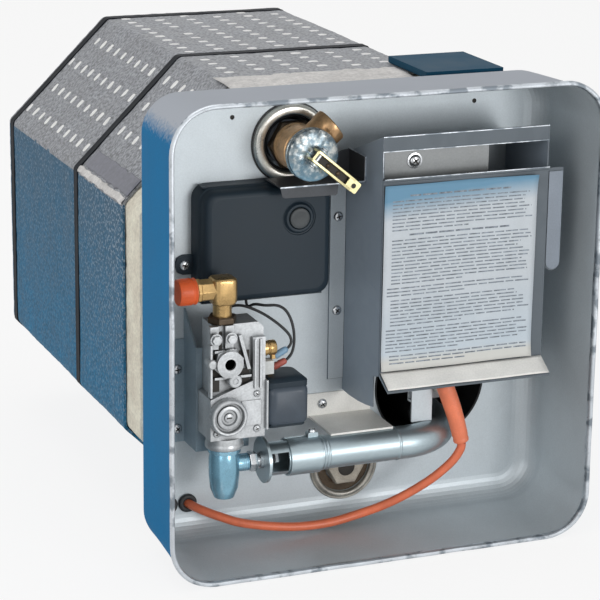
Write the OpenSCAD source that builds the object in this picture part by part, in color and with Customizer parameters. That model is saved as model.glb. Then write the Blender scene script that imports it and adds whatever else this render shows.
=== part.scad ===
// Caravan water heater: a gas-fired storage heater that sits in a wall cut-out. A drawn pan at
// the front carries the burner, gas valve, thermostat, relief valve and flue box. Behind it a
// round tank lies in an octagonal foil-faced jacket. Millimetres, +Z up, the front faces -Y.
// Inside the modules X and Z are measured from the tank's axis and Y from the plane of the rim.

/* [Tank] */
// Outer radius of the water tank
tank_r = 150; // [146:1:158]
// Thickness of the tank's steel
tank_wall = 2; // [1.5:0.1:3]
// Radius where the tank's heads turn into its side
tank_knuckle = 30; // [24:1:34]
// Gap between the pan's back wall and the tank's front head
front_gap = 6.5; // [5:0.5:10]

/* [Jacket] */
// Insulation between tank and jacket at the sides
side_insulation = 4; // [3:0.5:8]
// Insulation between tank and jacket at top and bottom
top_insulation = 11.5; // [9:0.5:16]
// Thickness of the foil-faced jacket board
jacket_t = 2; // [1.6:0.1:3]
// Width and height cut from each corner of the octagon
jacket_chamfer = 80; // [72:1:86]
// Length of the bare insulation collar behind the pan
collar_len = 30.5; // [26:0.5:40]
// Length of the collar that is tucked inside the jacket
collar_tuck = 30; // [20:1:40]
// Length of the jacket
jacket_len = 297; // [280:1:320]
// Depth of the rear end cap
cap_d = 35; // [33:1:44]
// Taper of the rear end cap on every face
cap_bevel = 20; // [18:1:24]
// Thickness of the end cap behind the tank
cap_wall = 14; // [10:1:18]

/* [Straps] */
// Width of the strapping
strap_w = 9; // [6:0.5:10]
// Thickness of the strapping
strap_t = 0.8; // [0.5:0.1:1]
// Depth of the strapping below the jacket's face
strap_sink = 0.2; // [0.1:0.1:0.4]
// Distance of the front strap from the jacket's front edge
strap_front_at = 113; // [80:1:140]
// Distance of the rear strap from the jacket's rear edge
strap_rear_at = 7; // [5.5:0.5:20]

/* [Control pan] */
// Width of the rim
pan_w = 322; // [316:1:330]
// How far the rim stands above the jacket
pan_rise = 11; // [8:0.5:16]
// Depth from the rim to the face of the back wall
pan_depth = 86; // [82:1:94]
// Thickness of the pan's sheet
pan_sheet = 1.5; // [1:0.1:2]
// Lean of each wall from rim to back wall
pan_draft = 4; // [3:0.5:5]
// Radius of the pan's corners at the rim
pan_corner_r = 33; // [28:1:40]
// Radius between the walls and the back wall
pan_floor_r = 10; // [7:1:12]
// Overhang of the hem outside the walls
hem_w = 2; // [1.5:0.1:2.5]
// Depth of the hem along the walls
hem_d = 3; // [2:0.5:5]

/* [Fire tube and water ports] */
// Outer radius of the fire tube and flue
flue_r = 44; // [42:1:46]
// Wall of the fire tube and flue
flue_wall = 1.5; // [1:0.1:2]
// Sideways place of the fire tube and flue, if the tank is wide enough for it
flue_x = 70; // [66:1:74]
// Height of the burner leg below the tank's axis
burner_leg_drop = 63.5; // [60:0.5:66]
// Spacing of the burner leg and the flue leg
leg_spacing = 112; // [104:1:118]
// Gap between the tube's return bend and the tank's rear head
flue_back_gap = 14; // [8:1:30]
// Outer radius of the hot and cold fittings
fitting_r = 14; // [12.5:0.5:16]
// Thread radius of the hot and cold fittings
fitting_bore_r = 9.3; // [8:0.1:10.5]
// Length of the hot and cold fittings outside the end cap
fitting_out = 37; // [25:1:50]
// Height of the fittings above and below the tank's axis
fitting_rise = 95; // [80:1:100]
// Outer radius of the drain spud
drain_spud_r = 17; // [16:0.5:18]
// Thread radius of the drain plug
drain_thread_r = 12; // [10:0.5:13]
// Distance of the drain collar from the turn of the pan's bottom
drain_edge = 0.5; // [0:0.5:6]
// Sideways place of the drain
drain_x = 2; // [-6:1:6]
// Outer radius of the collar round the drain hole
drain_collar_r = 26.5; // [24:0.5:27]
// Radius of the drain hole
drain_hole_r = 20.5; // [18:0.5:21]
// Half width of the drain plug's hexagon over its corners
drain_hex_r = 15; // [13:0.5:16]
// Radius of the anode rod
anode_r = 9.5; // [8:0.5:10]
// Length of the anode rod
anode_len = 220; // [150:1:280]

/* [Relief valve] */
// Outer radius of the relief spud
relief_spud_r = 16; // [15:0.5:17]
// Thread radius of the relief valve
relief_thread_r = 13.3; // [12:0.1:13.8]
// Distance of the relief spud from the tank's side
relief_edge = 1.5; // [1:0.5:6]
// Angle of the relief port left of the tank's top
relief_angle = 18.9; // [16:0.1:22]
// Outer radius of the port ring
port_ring_r = 26.5; // [25:0.5:27]
// Hole radius of the port ring
port_ring_bore_r = 21; // [20:0.5:22]
// Depth of the port ring
port_ring_d = 5; // [3:0.5:6]
// Distance of the bonnet's face from the pan's back wall
relief_reach = 45; // [42:1:48]
// Radius of the bonnet
bonnet_r = 18.5; // [17:0.5:20]
// Depth of the bonnet
bonnet_d = 8; // [6:0.5:9]
// Radius of the brass body
relief_body_r = 16.5; // [15.5:0.5:18]
// Radius of the hexagon over its corners
relief_hex_r = 18.5; // [17.5:0.5:19]
// Depth of the hexagon
relief_hex_d = 8; // [6:0.5:9]
// Outer radius of the discharge outlet
outlet_r = 12.5; // [11:0.5:13]
// Thread radius of the discharge outlet
outlet_bore_r = 9; // [7:0.5:10]
// Length of the discharge outlet from the valve's axis
outlet_len = 27; // [24:1:32]
// Angle of the discharge outlet above level
outlet_angle = 38; // [30:1:50]
// Radius of the stem
stem_r = 2.5; // [2:0.1:2.8]
// Lever length from its pin
lever_len = 37; // [30:1:42]
// Width of the lever
lever_w = 9; // [8.4:0.1:11]
// Thickness of the lever's sheet
lever_t = 1.2; // [1:0.1:1.4]
// Angle of the lever below level
lever_angle = 39.5; // [30:0.5:48]
// Radius of the lever's pin
lever_pin_r = 1.6; // [1.2:0.1:2]

/* [Thermostat] */
// Width of the thermostat cover
cover_w = 99; // [92:0.5:100]
// Height of the thermostat cover
cover_h = 81; // [72:1:83]
// Depth of the thermostat cover
cover_d = 22; // [20:0.5:26]
// Wall of the thermostat cover
cover_t = 2; // [1.5:0.1:2.5]
// Distance of the cover's right side from the flue box's flange
cover_gap = 5; // [2:0.5:8]
// Radius of the reset button
button_r = 5.8; // [4:0.1:7]
// Distance of the reset button from the cover's right side
button_in = 27; // [22:1:36]
// Distance of the reset button from the cover's top
button_down = 25; // [22:1:36]

/* [Flue box] */
// Width of the flue box
flue_box_w = 127; // [122:1:132]
// Depth of the flue box
flue_box_d = 64; // [58:1:68]
// Left side of the flue box, from the tank's axis
flue_box_x = 0; // [-2:0.5:2]
// Height of the front top edge above the tank's axis
flue_top = 139.5; // [134:0.5:142]
// Fall of the top from front to back
flue_top_fall = 24; // [18:1:28]
// Depth of the sides' front lower corner below the tank's axis
flue_bottom = 31.5; // [28:0.5:34]
// Fall of the sides' lower edge from front to back
flue_bottom_fall = 20; // [12:1:24]
// Sheet of the flue box
flue_sheet = 1.2; // [0.8:0.1:1.6]
// Height of the strip above the outlet window
flue_strip_h = 11; // [8:0.5:14]
// Height of the outlet window
window_h = 20; // [16:0.5:24]
// Width of the mounting flange
flange_w = 12; // [10:0.5:14]
// Width of the inner baffle
baffle_w = 86; // [76:1:94]
// Distance of the inner baffle behind the box's front
baffle_back = 12; // [8:1:16]
// Reach of the front plate's lower lip
lip_reach = 16; // [10:1:18]
// Fall of the front plate's lower lip
lip_fall = 8; // [5:0.5:10]
// Thickness of the drip shield
shield_t = 1.2; // [0.8:0.1:1.6]
// Depth of the drip shield
shield_d = 36; // [30:1:38]
// Length of the drip shield
shield_len = 38; // [30:1:44]
// Height of the drip shield's upright leg
shield_h = 17; // [12:1:20]

/* [Burner] */
// Outer radius of the burner tube
burner_r = 12; // [11:0.5:12]
// Wall of the burner tube
burner_wall = 1.2; // [0.8:0.1:1.6]
// Distance of the burner tube's axis from the back wall
burner_standoff = 41; // [38:1:44]
// Height of the burner tube's axis below the burner leg's axis
burner_sink = 28; // [26:0.5:28]
// Shift of the burner tube to the right of the burner leg
burner_shift = 4; // [0:0.5:5]
// Bend radius of the burner tube
burner_bend_r = 42; // [38:1:46]
// Radius of the burner's flange
burner_flange_r = 16.5; // [15:0.5:18]
// Length of the air slots
slot_len = 13; // [10:0.5:15]
// Length of the air shutter
shutter_len = 24; // [18:1:28]
// Wall of the air shutter
shutter_wall = 1.4; // [1:0.1:2]
// Length of the burner head
head_len = 80; // [60:1:120]
// Radius of the electrode's ceramic
ceramic_r = 4; // [3:0.5:5]
// Radius of the ignition lead
lead_r = 3.2; // [2.8:0.1:3.4]
// Radius of the boot's upper end
boot_r = 6.4; // [5.5:0.1:7]

/* [Gas valve] */
// Distance of the transit cap from the pan's left wall
valve_gap = 12.5; // [8:0.5:16]
// Width of the valve body
valve_w = 40; // [38:1:44]
// Depth of the valve body
valve_d = 26; // [24:1:30]
// Height of the valve body
valve_h = 82; // [78:1:86]
// Length of the outlet's branch
branch_len = 18; // [16:1:22]
// Radius of the outlet fitting
fitting_body_r = 12; // [11:0.5:13]
// Length of the nozzle's nut
nut_len = 10; // [8:0.5:12]
// Radius of the regulator cap
regulator_r = 13.5; // [12:0.5:15]
// Length of the solenoid coil
coil_len = 32; // [28:1:34]
// Height of the solenoid coil
coil_h = 36; // [32:1:38]
// Radius of the solenoid plunger
plunger_r = 4.9; // [4:0.1:5.5]
// Radius of the inlet elbow
elbow_r = 8; // [7:0.5:9]
// Height of the inlet elbow
elbow_h = 23; // [20:1:26]
// Reach of the inlet elbow
elbow_reach = 25; // [22:1:28]
// Radius of the orange transit cap
transit_cap_r = 10.8; // [10.6:0.1:11.5]
// Length of the orange transit cap
transit_cap_len = 13; // [10:0.5:15]
// Sheet of the brackets
bracket_t = 1.5; // [1:0.1:2]

/* [Junction box] */
// Width of the junction box
jbox_w = 60; // [50:1:64]
// Depth of the junction box
jbox_d = 67; // [50:1:80]
// Right side of the junction box, from the tank's axis
jbox_right = 122; // [116:1:126]
// Height of the junction box above the jacket
jbox_rise = 5; // [4:0.5:9]
// Wall of the junction box
jbox_wall = 1.5; // [1:0.1:2]

/* [Hidden] */
$fn = 48;
// Radial clearance of fits that stay put
fit = 0.1;
// Clearance of moving pieces
run_gap = 0.3;
// Radial clearance of turning pins
pin_gap = 0.06;
// Reach of a cut past the face that it opens
past = 1;

// Lengths along the heater
pan_back = pan_depth + pan_sheet;
jacket_front = pan_back + collar_len;
jacket_rear = jacket_front + jacket_len;
cap_back = jacket_rear + cap_d;
tank_front = pan_back + front_gap;
tank_rear = cap_back - cap_wall;
overall_depth = cap_back + fitting_out;

// Widths and heights of jacket and pan
jacket_w = 2 * (tank_r + side_insulation + jacket_t);
jacket_h = 2 * (tank_r + top_insulation + jacket_t);
tank_z = jacket_h / 2;
pan_h = jacket_h + pan_rise;
pan_mid = pan_rise / 2;
pan_side = pan_w / 2 - hem_w - pan_sheet - pan_draft;
pan_flat_low = hem_w + pan_sheet + pan_draft + pan_floor_r - tank_z;

// Straps
strap_mids = [jacket_front + strap_front_at, jacket_rear - strap_rear_at];

// Ports
flue_edge = 11.4;
leg_limit = sqrt(pow(tank_r - flue_r - flue_edge, 2) - pow(burner_leg_drop, 2));
leg_x = min(flue_x, leg_limit);
flue_leg_z = leg_spacing - burner_leg_drop;
leg_heights = [-burner_leg_drop, flue_leg_z];
relief_rad = tank_r - relief_spud_r - relief_edge;
relief_x = -relief_rad * sin(relief_angle);
relief_z = relief_rad * cos(relief_angle);
drain_z = pan_flat_low + drain_collar_r + drain_edge;
drain_at = min(drain_x, leg_x - 68);
spud_front = pan_back + 1;
spud_back = tank_front + tank_knuckle - 4;

// Relief valve, measured back from the rim
bonnet_face = pan_depth - relief_reach;
body_front = bonnet_face + bonnet_d;
hex_back = pan_depth - 2;
hex_front = hex_back - relief_hex_d;
shank_back = spud_front + 16;
seat_y = hex_front + 2;
cavity_r = relief_body_r - 4.5;
inlet_bore_r = cavity_r - 3;
disc_t = 3;
disc_r = cavity_r - 1.2;
stem_lift = 3;
outlet_y = body_front + outlet_r + 0.5;
thread_len = 13;
lever_drop = 7;
pivot_y = bonnet_face - lever_drop;
lever_h = 8.5;
lever_face = pivot_y - lever_h / 2;
lever_heel = 5;
ear_t = 1.5;
ear_z = lever_w / 2 + run_gap;

// Flue box
flue_front = pan_depth - flue_box_d;
flue_top_back = flue_top - flue_top_fall;
flue_low_back = -flue_bottom - flue_bottom_fall;
flue_right = flue_box_x + flue_box_w;
window_top = flue_top - flue_strip_h;
plate_top = window_top - window_h;
plate_t = 1.2;
label_t = 0.3;
baffle_y = flue_front + baffle_back;
baffle_floor = (flue_leg_z - burner_leg_drop) / 2 + 3;
tab_w = 12;
tab_low = plate_top - 69;

// Drip shield and thermostat cover hang below the port ring, which is let into both
ring_notch = 4;
shield_top = relief_z - port_ring_r + ring_notch;
cover_top = shield_top - shield_t - run_gap;
cover_right = flue_box_x - flange_w - cover_gap;
cover_mid_x = cover_right - cover_w / 2;
cover_mid_z = cover_top - cover_h / 2;
cover_low = cover_top - cover_h;
cover_left = cover_right - cover_w;
cover_front = pan_depth - cover_d;
cover_r = 10;
cover_edge_r = 5;
cover_ear_w = 12;
cover_ear_t = 3;
cover_ear_z = cover_low + 24;
button_x = cover_right - button_in;
button_z = cover_top - button_down;
button_proud = 2.5;
button_travel = 3;
boss_wall = 2.4;
boss_r = button_r + run_gap + boss_wall;
boss_proud = 1.5;
button_inner = cover_front + cover_t + 4;
switch_front = button_inner + button_travel + 1;

// Burner and gas valve, placed from the pan's left wall
elbow_offset = 2;
cap_overlap = 5;
valve_x = valve_gap + transit_cap_len - cap_overlap + elbow_reach + elbow_offset - pan_side;
nut_left = valve_x + branch_len;
burner_y = pan_depth - burner_standoff;
burner_z = -burner_leg_drop - burner_sink;
burner_leg_x = leg_x + burner_shift;
bend_x = burner_leg_x - burner_bend_r;
bend_y = burner_y + burner_bend_r;
burner_left = nut_left + nut_len;
flange_t = 2;
slot_left = burner_left + flange_t + 2;
slot_right = slot_left + slot_len;
shutter_left = slot_right + 1;
shutter_right = shutter_left + shutter_len;
shutter_bore_r = burner_r + run_gap;
shutter_r = shutter_bore_r + shutter_wall;
lug_x = shutter_right - 4;
lug_top = burner_z + shutter_r + 3;
leg_end = pan_back + 22;
head_r = burner_r + 1.2;
holder_w = 16;
holder_left = burner_leg_x - 34;
holder_right = holder_left + holder_w;
bracket_left = shutter_right - 2;
bracket_right = holder_left - 18;
burner_bracket_h = 18;
burner_bracket_step = 12;
bracket_z = burner_z + burner_r + fit;

// Electrode, boot and lead
boot_h = 45;
boot_lean = 14;
boot_low = [burner_leg_x + 2, burner_y - 4, burner_z - 4.5];
boot_top = [boot_low[0] - boot_lean, boot_low[1] + 3, boot_low[2] + boot_h];
ceramic_x = boot_top[0] + 1;
ceramic_z = boot_top[2] - 6;
ceramic_front = boot_top[1] + boot_r / 2;
ceramic_len = 60.3;
spark_rod_len = 25;
spark_rod_r = 1.2;
grommet_z = pan_flat_low + 13;
grommet_spots = [[34.5 - pan_side, grommet_z], [20 - pan_side, grommet_z]];

// The lead drops from the boot to the pan's floor, then rises to the first grommet.
// Drop: steps left and back from the boot, and share of the way down.
lead_low = grommet_z - 17;
lead_drop = [
    [0, 0, 0], [1, 0, 0.093], [6, 1, 0.241], [15, 2, 0.389], [26, 4, 0.537], [42, 7, 0.704],
    [58, 10, 0.833], [74, 13, 0.926]
];
// Rise: steps right and forward from the grommet, and height above the lowest point
lead_rise = [
    [99, 31, 0], [75, 31, 0], [52, 30, 3], [31, 26, 7], [18, 20, 11], [9, 14, 14], [3, 7, 16],
    [0, 0, 17]
];
lead_route = concat(
    [for (d = lead_drop)
        [boot_low[0] - d[0], boot_low[1] + d[1], boot_low[2] - d[2] * (boot_low[2] - lead_low)]],
    [for (r = lead_rise) [grommet_spots[0][0] + r[0], pan_depth - r[1], lead_low + r[2]]]
);
grommet_r = 5.5;
grommet_lip = 1.4;

// Gas valve
tee_drop = 24;
tee_rise = 14;
fitting_top = burner_z + tee_rise;
valve_low = fitting_top + 8;
valve_top = valve_low + valve_h;
valve_left = valve_x - 14;
valve_right = valve_left + valve_w;
valve_front = burner_y - 11;
valve_back = valve_front + valve_d;
regulator_x = valve_x - 2;
regulator_z = valve_low + 17.5;
tap_x = valve_x - 1;
tap_z = valve_low + 55.5;
tap_r = 9.5;
coil_low = valve_low + 5;
coil_right = valve_right + coil_len;
coil_mid_z = coil_low + coil_h / 2;
coil_mid_y = burner_y;
coil_half_d = 17;
elbow_x = valve_x - elbow_offset;
elbow_z = valve_top + elbow_h;
elbow_left = elbow_x - elbow_reach;
elbow_collar_r = elbow_r + 1.5;
plunger_left = valve_right - 9;
plunger_len = 30;
valve_flange_w = 13;
valve_bracket_left = valve_left - valve_flange_w;
valve_bracket_h = 76;
valve_bracket_low = burner_z + 6;
valve_bracket_high = valve_bracket_low + valve_bracket_h;
gusset_low = valve_bracket_high - 2;
gusset_h = 24;
sleeve_r = 2.6;
wire_r = 1;

// Wire ends and wires, as steps from the valve's upper right edge at the burner's depth.
// Behind the valve, steps right of that edge, forward of the back wall, down from the cover.
valve_edge = [valve_right, burner_y, valve_top];
cover_edge = [valve_right, pan_depth, cover_low];
sleeve_a = [[10, 0, -36.5] + valve_edge, [19, -2, -31.5] + valve_edge];
sleeve_b = [[10, -3, -27.5] + valve_edge, [19, -4, -22.5] + valve_edge];
wire_a_front = [
    [19, -2, -31.5], [23, -2, -27.5], [25, -2, -18.5], [24, -1, -6.5], [20, 2, 3.5], [14, 6, 6.5],
    [8, 10, 5.5]
];
wire_a_back = [[3, -24, -2.5], [1, -18, -5.5], [0, -15, -6], [0, -13, -1]];
wire_b_front = [
    [19, -4, -22.5], [22, -4, -19.5], [22, -3, -14.5], [17, -2, -8.5], [9, 1, -1.5], [1, 6, 3.5],
    [-7, 12, 6.5], [-12, 16.6, 6]
];
wire_b_back = [[-15, -23.8, -3], [-16, -18, -4], [-16, -15, -4], [-16, -14, -1]];
wire_a = concat([for (w = wire_a_front) w + valve_edge], [for (w = wire_a_back) w + cover_edge]);
wire_b = concat([for (w = wire_b_front) w + valve_edge], [for (w = wire_b_back) w + cover_edge]);

// Screws that go through the pan's back wall: place, and thickness of what they hold
flange_mid_x = flue_box_x - flange_w / 2;
panel_screws_at = [
    [flange_mid_x, 69.5, flue_sheet], [flange_mid_x, 0, flue_sheet],
    [bracket_left + 22, bracket_z + burner_bracket_h / 2 + 1, bracket_t],
    [cover_left - cover_ear_w / 2, cover_ear_z, cover_ear_t],
    [valve_bracket_left + 6, valve_bracket_low + 54, bracket_t],
    [valve_bracket_left + 6, valve_bracket_low + 10, bracket_t]
];
screw_r = 1.6;
screw_head_r = 3.6;
screw_head_h = 2.4;
screw_past = 3;

// Moves the modelling frame to the middle of the heater's base
module in_frame() translate([0, -overall_depth / 2, tank_z]) children();

// Extrudes an outline of X and Z from y0 to y1
module along_y(y0, y1) translate([0, y1, 0]) rotate([90, 0, 0]) linear_extrude(y1 - y0) children();

// Extrudes an outline of Y and Z from x0 to x1
module along_x(x0, x1) translate([x0, 0, 0]) rotate([90, 0, 90]) linear_extrude(x1 - x0) children();

module rod_y(x, z, r, y0, y1) translate([x, y1, z]) rotate([90, 0, 0]) cylinder(r = r, h = y1 - y0);

module rod_x(y, z, r, x0, x1) translate([x0, y, z]) rotate([0, 90, 0]) cylinder(r = r, h = x1 - x0);

module rod_z(x, y, r, z0, z1) translate([x, y, z0]) cylinder(r = r, h = z1 - z0);

// Turns an outline of radius and Y about a line along Y
module lathe_y(x, z) translate([x, 0, z]) rotate([-90, 0, 0]) rotate_extrude() children();

// A round rod or cone from point a to point b
module rod_between(a, b, ra, rb) {
    v = b - a;
    translate(a)
        rotate([0, acos(v[2] / norm(v)), atan2(v[1], v[0])])
            cylinder(r1 = ra, r2 = rb, h = norm(v));
}

module block(x, y, z) translate([x[0], y[0], z[0]]) cube([x[1] - x[0], y[1] - y[0], z[1] - z[0]]);

function arc(x, y, r, a0, a1, steps = 6) =
    [for (i = [0:steps]) let (a = a0 + (a1 - a0) * i / steps) [x + r * cos(a), y + r * sin(a)]];

// Octagon of the jacket, moved in by t on every face
function octagon(t) =
    let (a = jacket_w / 2 - t, b = jacket_h / 2 - t, c = jacket_chamfer - t * (2 - sqrt(2)))
    [
        [a - c, -b], [a, c - b], [a, b - c], [a - c, b],
        [c - a, b], [-a, b - c], [-a, c - b], [c - a, -b]
    ];

function octagon_ring(t, y) = [for (p = octagon(t)) [p[0], y, p[1]]];

// Rounded rectangle in the plane at y, counterclockwise from the front
function round_ring(w, h, r, y, x = 0, z = 0, steps = 6) = [
    for (q = [0:3]) for (i = [0:steps])
        let (a = 90 * (q + i / steps))
        [
            x + (q == 0 || q == 3 ? 1 : -1) * (w / 2 - r) + r * cos(a),
            y,
            z + (q < 2 ? 1 : -1) * (h / 2 - r) + r * sin(a)
        ]
];

// Closed solid through rings of equal count, listed from front to back
module skin(rings) {
    n = len(rings[0]);
    last = len(rings) - 1;
    points = [for (ring = rings) for (p = ring) p];
    sides = [
        for (k = [0:last - 1]) for (i = [0:n - 1])
            let (a = k * n + i, b = k * n + (i + 1) % n, c = b + n, d = a + n)
            each [[a, b, c], [a, c, d]]
    ];
    front = [for (i = [n - 1:-1:0]) i];
    back = [for (i = [0:n - 1]) last * n + i];
    polyhedron(points = points, faces = concat([front], sides, [back]));
}

function unit(v) = v / norm(v);

// Direction of a route at its point i
function heading(route, i) =
    unit(route[min(i + 1, len(route) - 1)] - route[max(i - 1, 0)]);

// Round tube along a route; across is a direction that the route never takes
module sweep(route, r, sides, across) {
    skin([
        for (i = [0:len(route) - 1])
            let (t = heading(route, i), u = unit(cross(t, across)), v = cross(u, t))
            [
                for (s = [0:sides - 1])
                    let (a = 360 * s / sides)
                    route[i] + r * cos(a) * u + r * sin(a) * v
            ]
    ]);
}

// Inside or outside of the drawn pan, moved out by t
module pan_volume(t, front) {
    w = pan_w - 2 * (hem_w + pan_sheet) + 2 * t;
    h = pan_h - 2 * (hem_w + pan_sheet) + 2 * t;
    r = pan_corner_r - hem_w - pan_sheet + t;
    fillet = pan_floor_r + t;
    bottom = pan_depth + t;
    slope = pan_draft / pan_depth;
    bend = [
        for (a = [0:18:90])
            let (y = bottom - fillet + fillet * sin(a), inset = slope * y + fillet * (1 - cos(a)))
            round_ring(w - 2 * inset, h - 2 * inset, r - inset, y, 0, pan_mid)
    ];
    lean = slope * front;
    mouth = round_ring(w - 2 * lean, h - 2 * lean, r - lean, front, 0, pan_mid);
    skin(concat([mouth], bend));
}

module pan_hem() {
    along_y(0, hem_d)
        polygon([for (p = round_ring(pan_w, pan_h, pan_corner_r, 0, 0, pan_mid)) [p[0], p[2]]]);
}

module panel_holes(r, y0, y1) {
    for (s = panel_screws_at) rod_y(s[0], s[1], r, y0, y1);
}

module leg_holes(r, y0, y1) {
    for (z = leg_heights) rod_y(leg_x, z, r, y0, y1);
}

// Holes through the pan's back wall and the insulation behind it
module service_holes(y0, y1, clear) {
    leg_holes(flue_r + fit + clear, y0, y1);
    for (g = grommet_spots) rod_y(g[0], g[1], grommet_r + fit + clear, y0, y1);
    panel_holes(screw_r + fit + clear, y0, y1);
}

module control_pan() color("#a9adb0") in_frame() difference() {
    union() {
        pan_volume(pan_sheet, 0);
        pan_hem();
    }
    pan_volume(0, -past);
    service_holes(pan_depth - past, pan_back + past, 0);
    rod_y(relief_x, relief_z, port_ring_bore_r, pan_depth - past, pan_back + past);
    rod_y(drain_at, drain_z, drain_hole_r, pan_depth - past, pan_back + past);
}

module jacket_shell() color("#b9bcc0") in_frame() difference() {
    along_y(jacket_front, jacket_rear) polygon(octagon(0));
    along_y(jacket_front - past, jacket_rear + past) polygon(octagon(jacket_t));
    for (y = strap_mids)
        along_y(y - strap_w / 2 - fit, y + strap_w / 2 + fit) difference() {
            polygon(octagon(-past));
            polygon(octagon(strap_sink + strap_t));
        }
}

module strap(y) {
    along_y(y - strap_w / 2, y + strap_w / 2) difference() {
        polygon(octagon(strap_sink));
        polygon(octagon(strap_sink + strap_t));
    }
}

module strap_front() color("#16181a") in_frame() strap(strap_mids[0]);

module strap_rear() color("#16181a") in_frame() strap(strap_mids[1]);

module rear_cap() color("#b9bcc0") in_frame() difference() {
    skin([octagon_ring(0, jacket_rear), octagon_ring(cap_bevel, cap_back)]);
    tank_volume(-fit);
    for (z = [-fitting_rise, fitting_rise]) rod_y(0, z, fitting_r + fit, tank_rear, cap_back + past);
}

module front_insulation() color("#e9dcb4") in_frame() difference() {
    along_y(pan_back, jacket_front + collar_tuck) polygon(octagon(jacket_t + fit));
    rod_y(0, 0, tank_r + fit, tank_front - fit, jacket_front + collar_tuck + past);
    service_holes(pan_back - past, tank_front, past);
    rod_y(relief_x, relief_z, port_ring_bore_r, pan_back - past, spud_back);
    rod_y(drain_at, drain_z, drain_hole_r, pan_back - past, spud_back);
}

module tank_insulation() color("#e9dcb4") in_frame() difference() {
    along_y(jacket_front + collar_tuck, jacket_rear) polygon(octagon(jacket_t + fit));
    rod_y(0, 0, tank_r + fit, jacket_front + collar_tuck - past, jacket_rear + past);
}

// Tank moved in by t
module tank_volume(t) {
    r = tank_r - t;
    k = tank_knuckle - t;
    y0 = tank_front + t;
    y1 = tank_rear - t;
    lathe_y(0, 0)
        polygon(concat(
            [[0, y0]], arc(r - k, y0 + k, k, -90, 0), arc(r - k, y1 - k, k, 0, 90), [[0, y1]]
        ));
}

module tank_shell() color("#5d6f86") in_frame() difference() {
    tank_volume(0);
    tank_volume(tank_wall);
    leg_holes(flue_r + fit, tank_front - past, tank_front + tank_knuckle);
    rod_y(relief_x, relief_z, relief_spud_r + fit, tank_front - past, spud_back + fit);
    rod_y(drain_at, drain_z, drain_spud_r + fit, tank_front - past, spud_back + fit);
    for (z = [-fitting_rise, fitting_rise])
        rod_y(0, z, fitting_r + fit, tank_rear - tank_wall - past, tank_rear + past);
}

// U-shaped tube of radius r, from y0 to the return bend
module flue_run(r, y0) {
    bend_r = leg_spacing / 2;
    turn_y = tank_rear - tank_wall - flue_back_gap - flue_r - bend_r;
    leg_holes(r, y0, turn_y);
    translate([leg_x, turn_y, flue_leg_z - bend_r])
        rotate([0, 90, 0])
            rotate_extrude(angle = 180) translate([bend_r, 0]) circle(r = r);
}

module flue_tube() color("#3a3a3c") in_frame() difference() {
    flue_run(flue_r, pan_depth);
    flue_run(flue_r - flue_wall, pan_depth - past);
}

module relief_spud() color("#8a8378") in_frame() difference() {
    rod_y(relief_x, relief_z, relief_spud_r, spud_front, spud_back);
    rod_y(relief_x, relief_z, relief_thread_r + fit, spud_front - past, spud_back + past);
}

module drain_spud() color("#8a8378") in_frame() difference() {
    rod_y(drain_at, drain_z, drain_spud_r, spud_front, spud_back);
    rod_y(drain_at, drain_z, drain_thread_r + fit, spud_front - past, spud_back + past);
}

module water_fitting(z) difference() {
    union() {
        rod_y(0, z, fitting_r, tank_rear - tank_wall - 6, overall_depth);
        translate([0, overall_depth - 6, z]) rotate([90, 0, 0])
            cylinder(r = fitting_r + 3, h = 12, $fn = 6);
    }
    rod_y(0, z, fitting_bore_r, tank_rear - tank_wall - 6 - past, overall_depth + past);
}

module cold_inlet() color("#b08d4a") in_frame() water_fitting(-fitting_rise);

module hot_outlet() color("#b08d4a") in_frame() water_fitting(fitting_rise);

// Outline of the junction box above the jacket's cut corner, moved in by t
module jbox_outline(t, top) {
    left = jbox_right - jbox_w + t;
    right = jbox_right - t;
    deck = jacket_h / 2 + fit + t;
    corner = jacket_w / 2 - jacket_chamfer + (fit + t) * (sqrt(2) - 1);
    polygon([
        [left, deck], [max(left, corner), deck], [right, deck - (right - max(left, corner))],
        [right, top], [left, top]
    ]);
}

module junction_box() color("#6f8fa8") in_frame() {
    top = jacket_h / 2 + jbox_rise - jbox_wall;
    difference() {
        along_y(pan_back, pan_back + jbox_d) jbox_outline(0, top);
        along_y(pan_back + jbox_wall, pan_back + jbox_d - jbox_wall) jbox_outline(jbox_wall, top + past);
    }
}

module junction_lid() color("#5f86a6") in_frame() {
    top = jacket_h / 2 + jbox_rise;
    block([jbox_right - jbox_w, jbox_right], [pan_back, pan_back + jbox_d], [top - jbox_wall, top]);
}

module relief_port_ring() color("#c9ccce") in_frame() difference() {
    lathe_y(relief_x, relief_z)
        polygon([
            [port_ring_bore_r, pan_depth], [port_ring_bore_r, pan_depth - port_ring_d],
            [port_ring_r - 2, pan_depth - port_ring_d], [port_ring_r, pan_depth - port_ring_d + 2],
            [port_ring_r, pan_depth]
        ]);
}

function outlet_end(len) =
    [relief_x + len * cos(outlet_angle), outlet_y, relief_z + len * sin(outlet_angle)];

module relief_valve_body() color("#b5894a") in_frame() difference() {
    union() {
        rod_y(relief_x, relief_z, relief_body_r, body_front, hex_front);
        translate([relief_x, hex_back, relief_z]) rotate([90, 0, 0])
            cylinder(r = relief_hex_r, h = relief_hex_d, $fn = 6);
        rod_y(relief_x, relief_z, relief_thread_r, hex_back, shank_back);
        rod_between(outlet_end(0), outlet_end(outlet_len), outlet_r, outlet_r);
    }
    rod_y(relief_x, relief_z, cavity_r, body_front - past, seat_y);
    rod_y(relief_x, relief_z, inlet_bore_r, seat_y - past, shank_back + past);
    rod_between(outlet_end(0), outlet_end(outlet_len), outlet_bore_r - 2, outlet_bore_r - 2);
    rod_between(
        outlet_end(outlet_len - thread_len), outlet_end(outlet_len + past), outlet_bore_r, outlet_bore_r
    );
}

// Places a piece in the lever's own directions: X along the lever, Z along its pin
module at_lever() translate([relief_x, 0, relief_z]) rotate([0, lever_angle, 0]) children();

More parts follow.
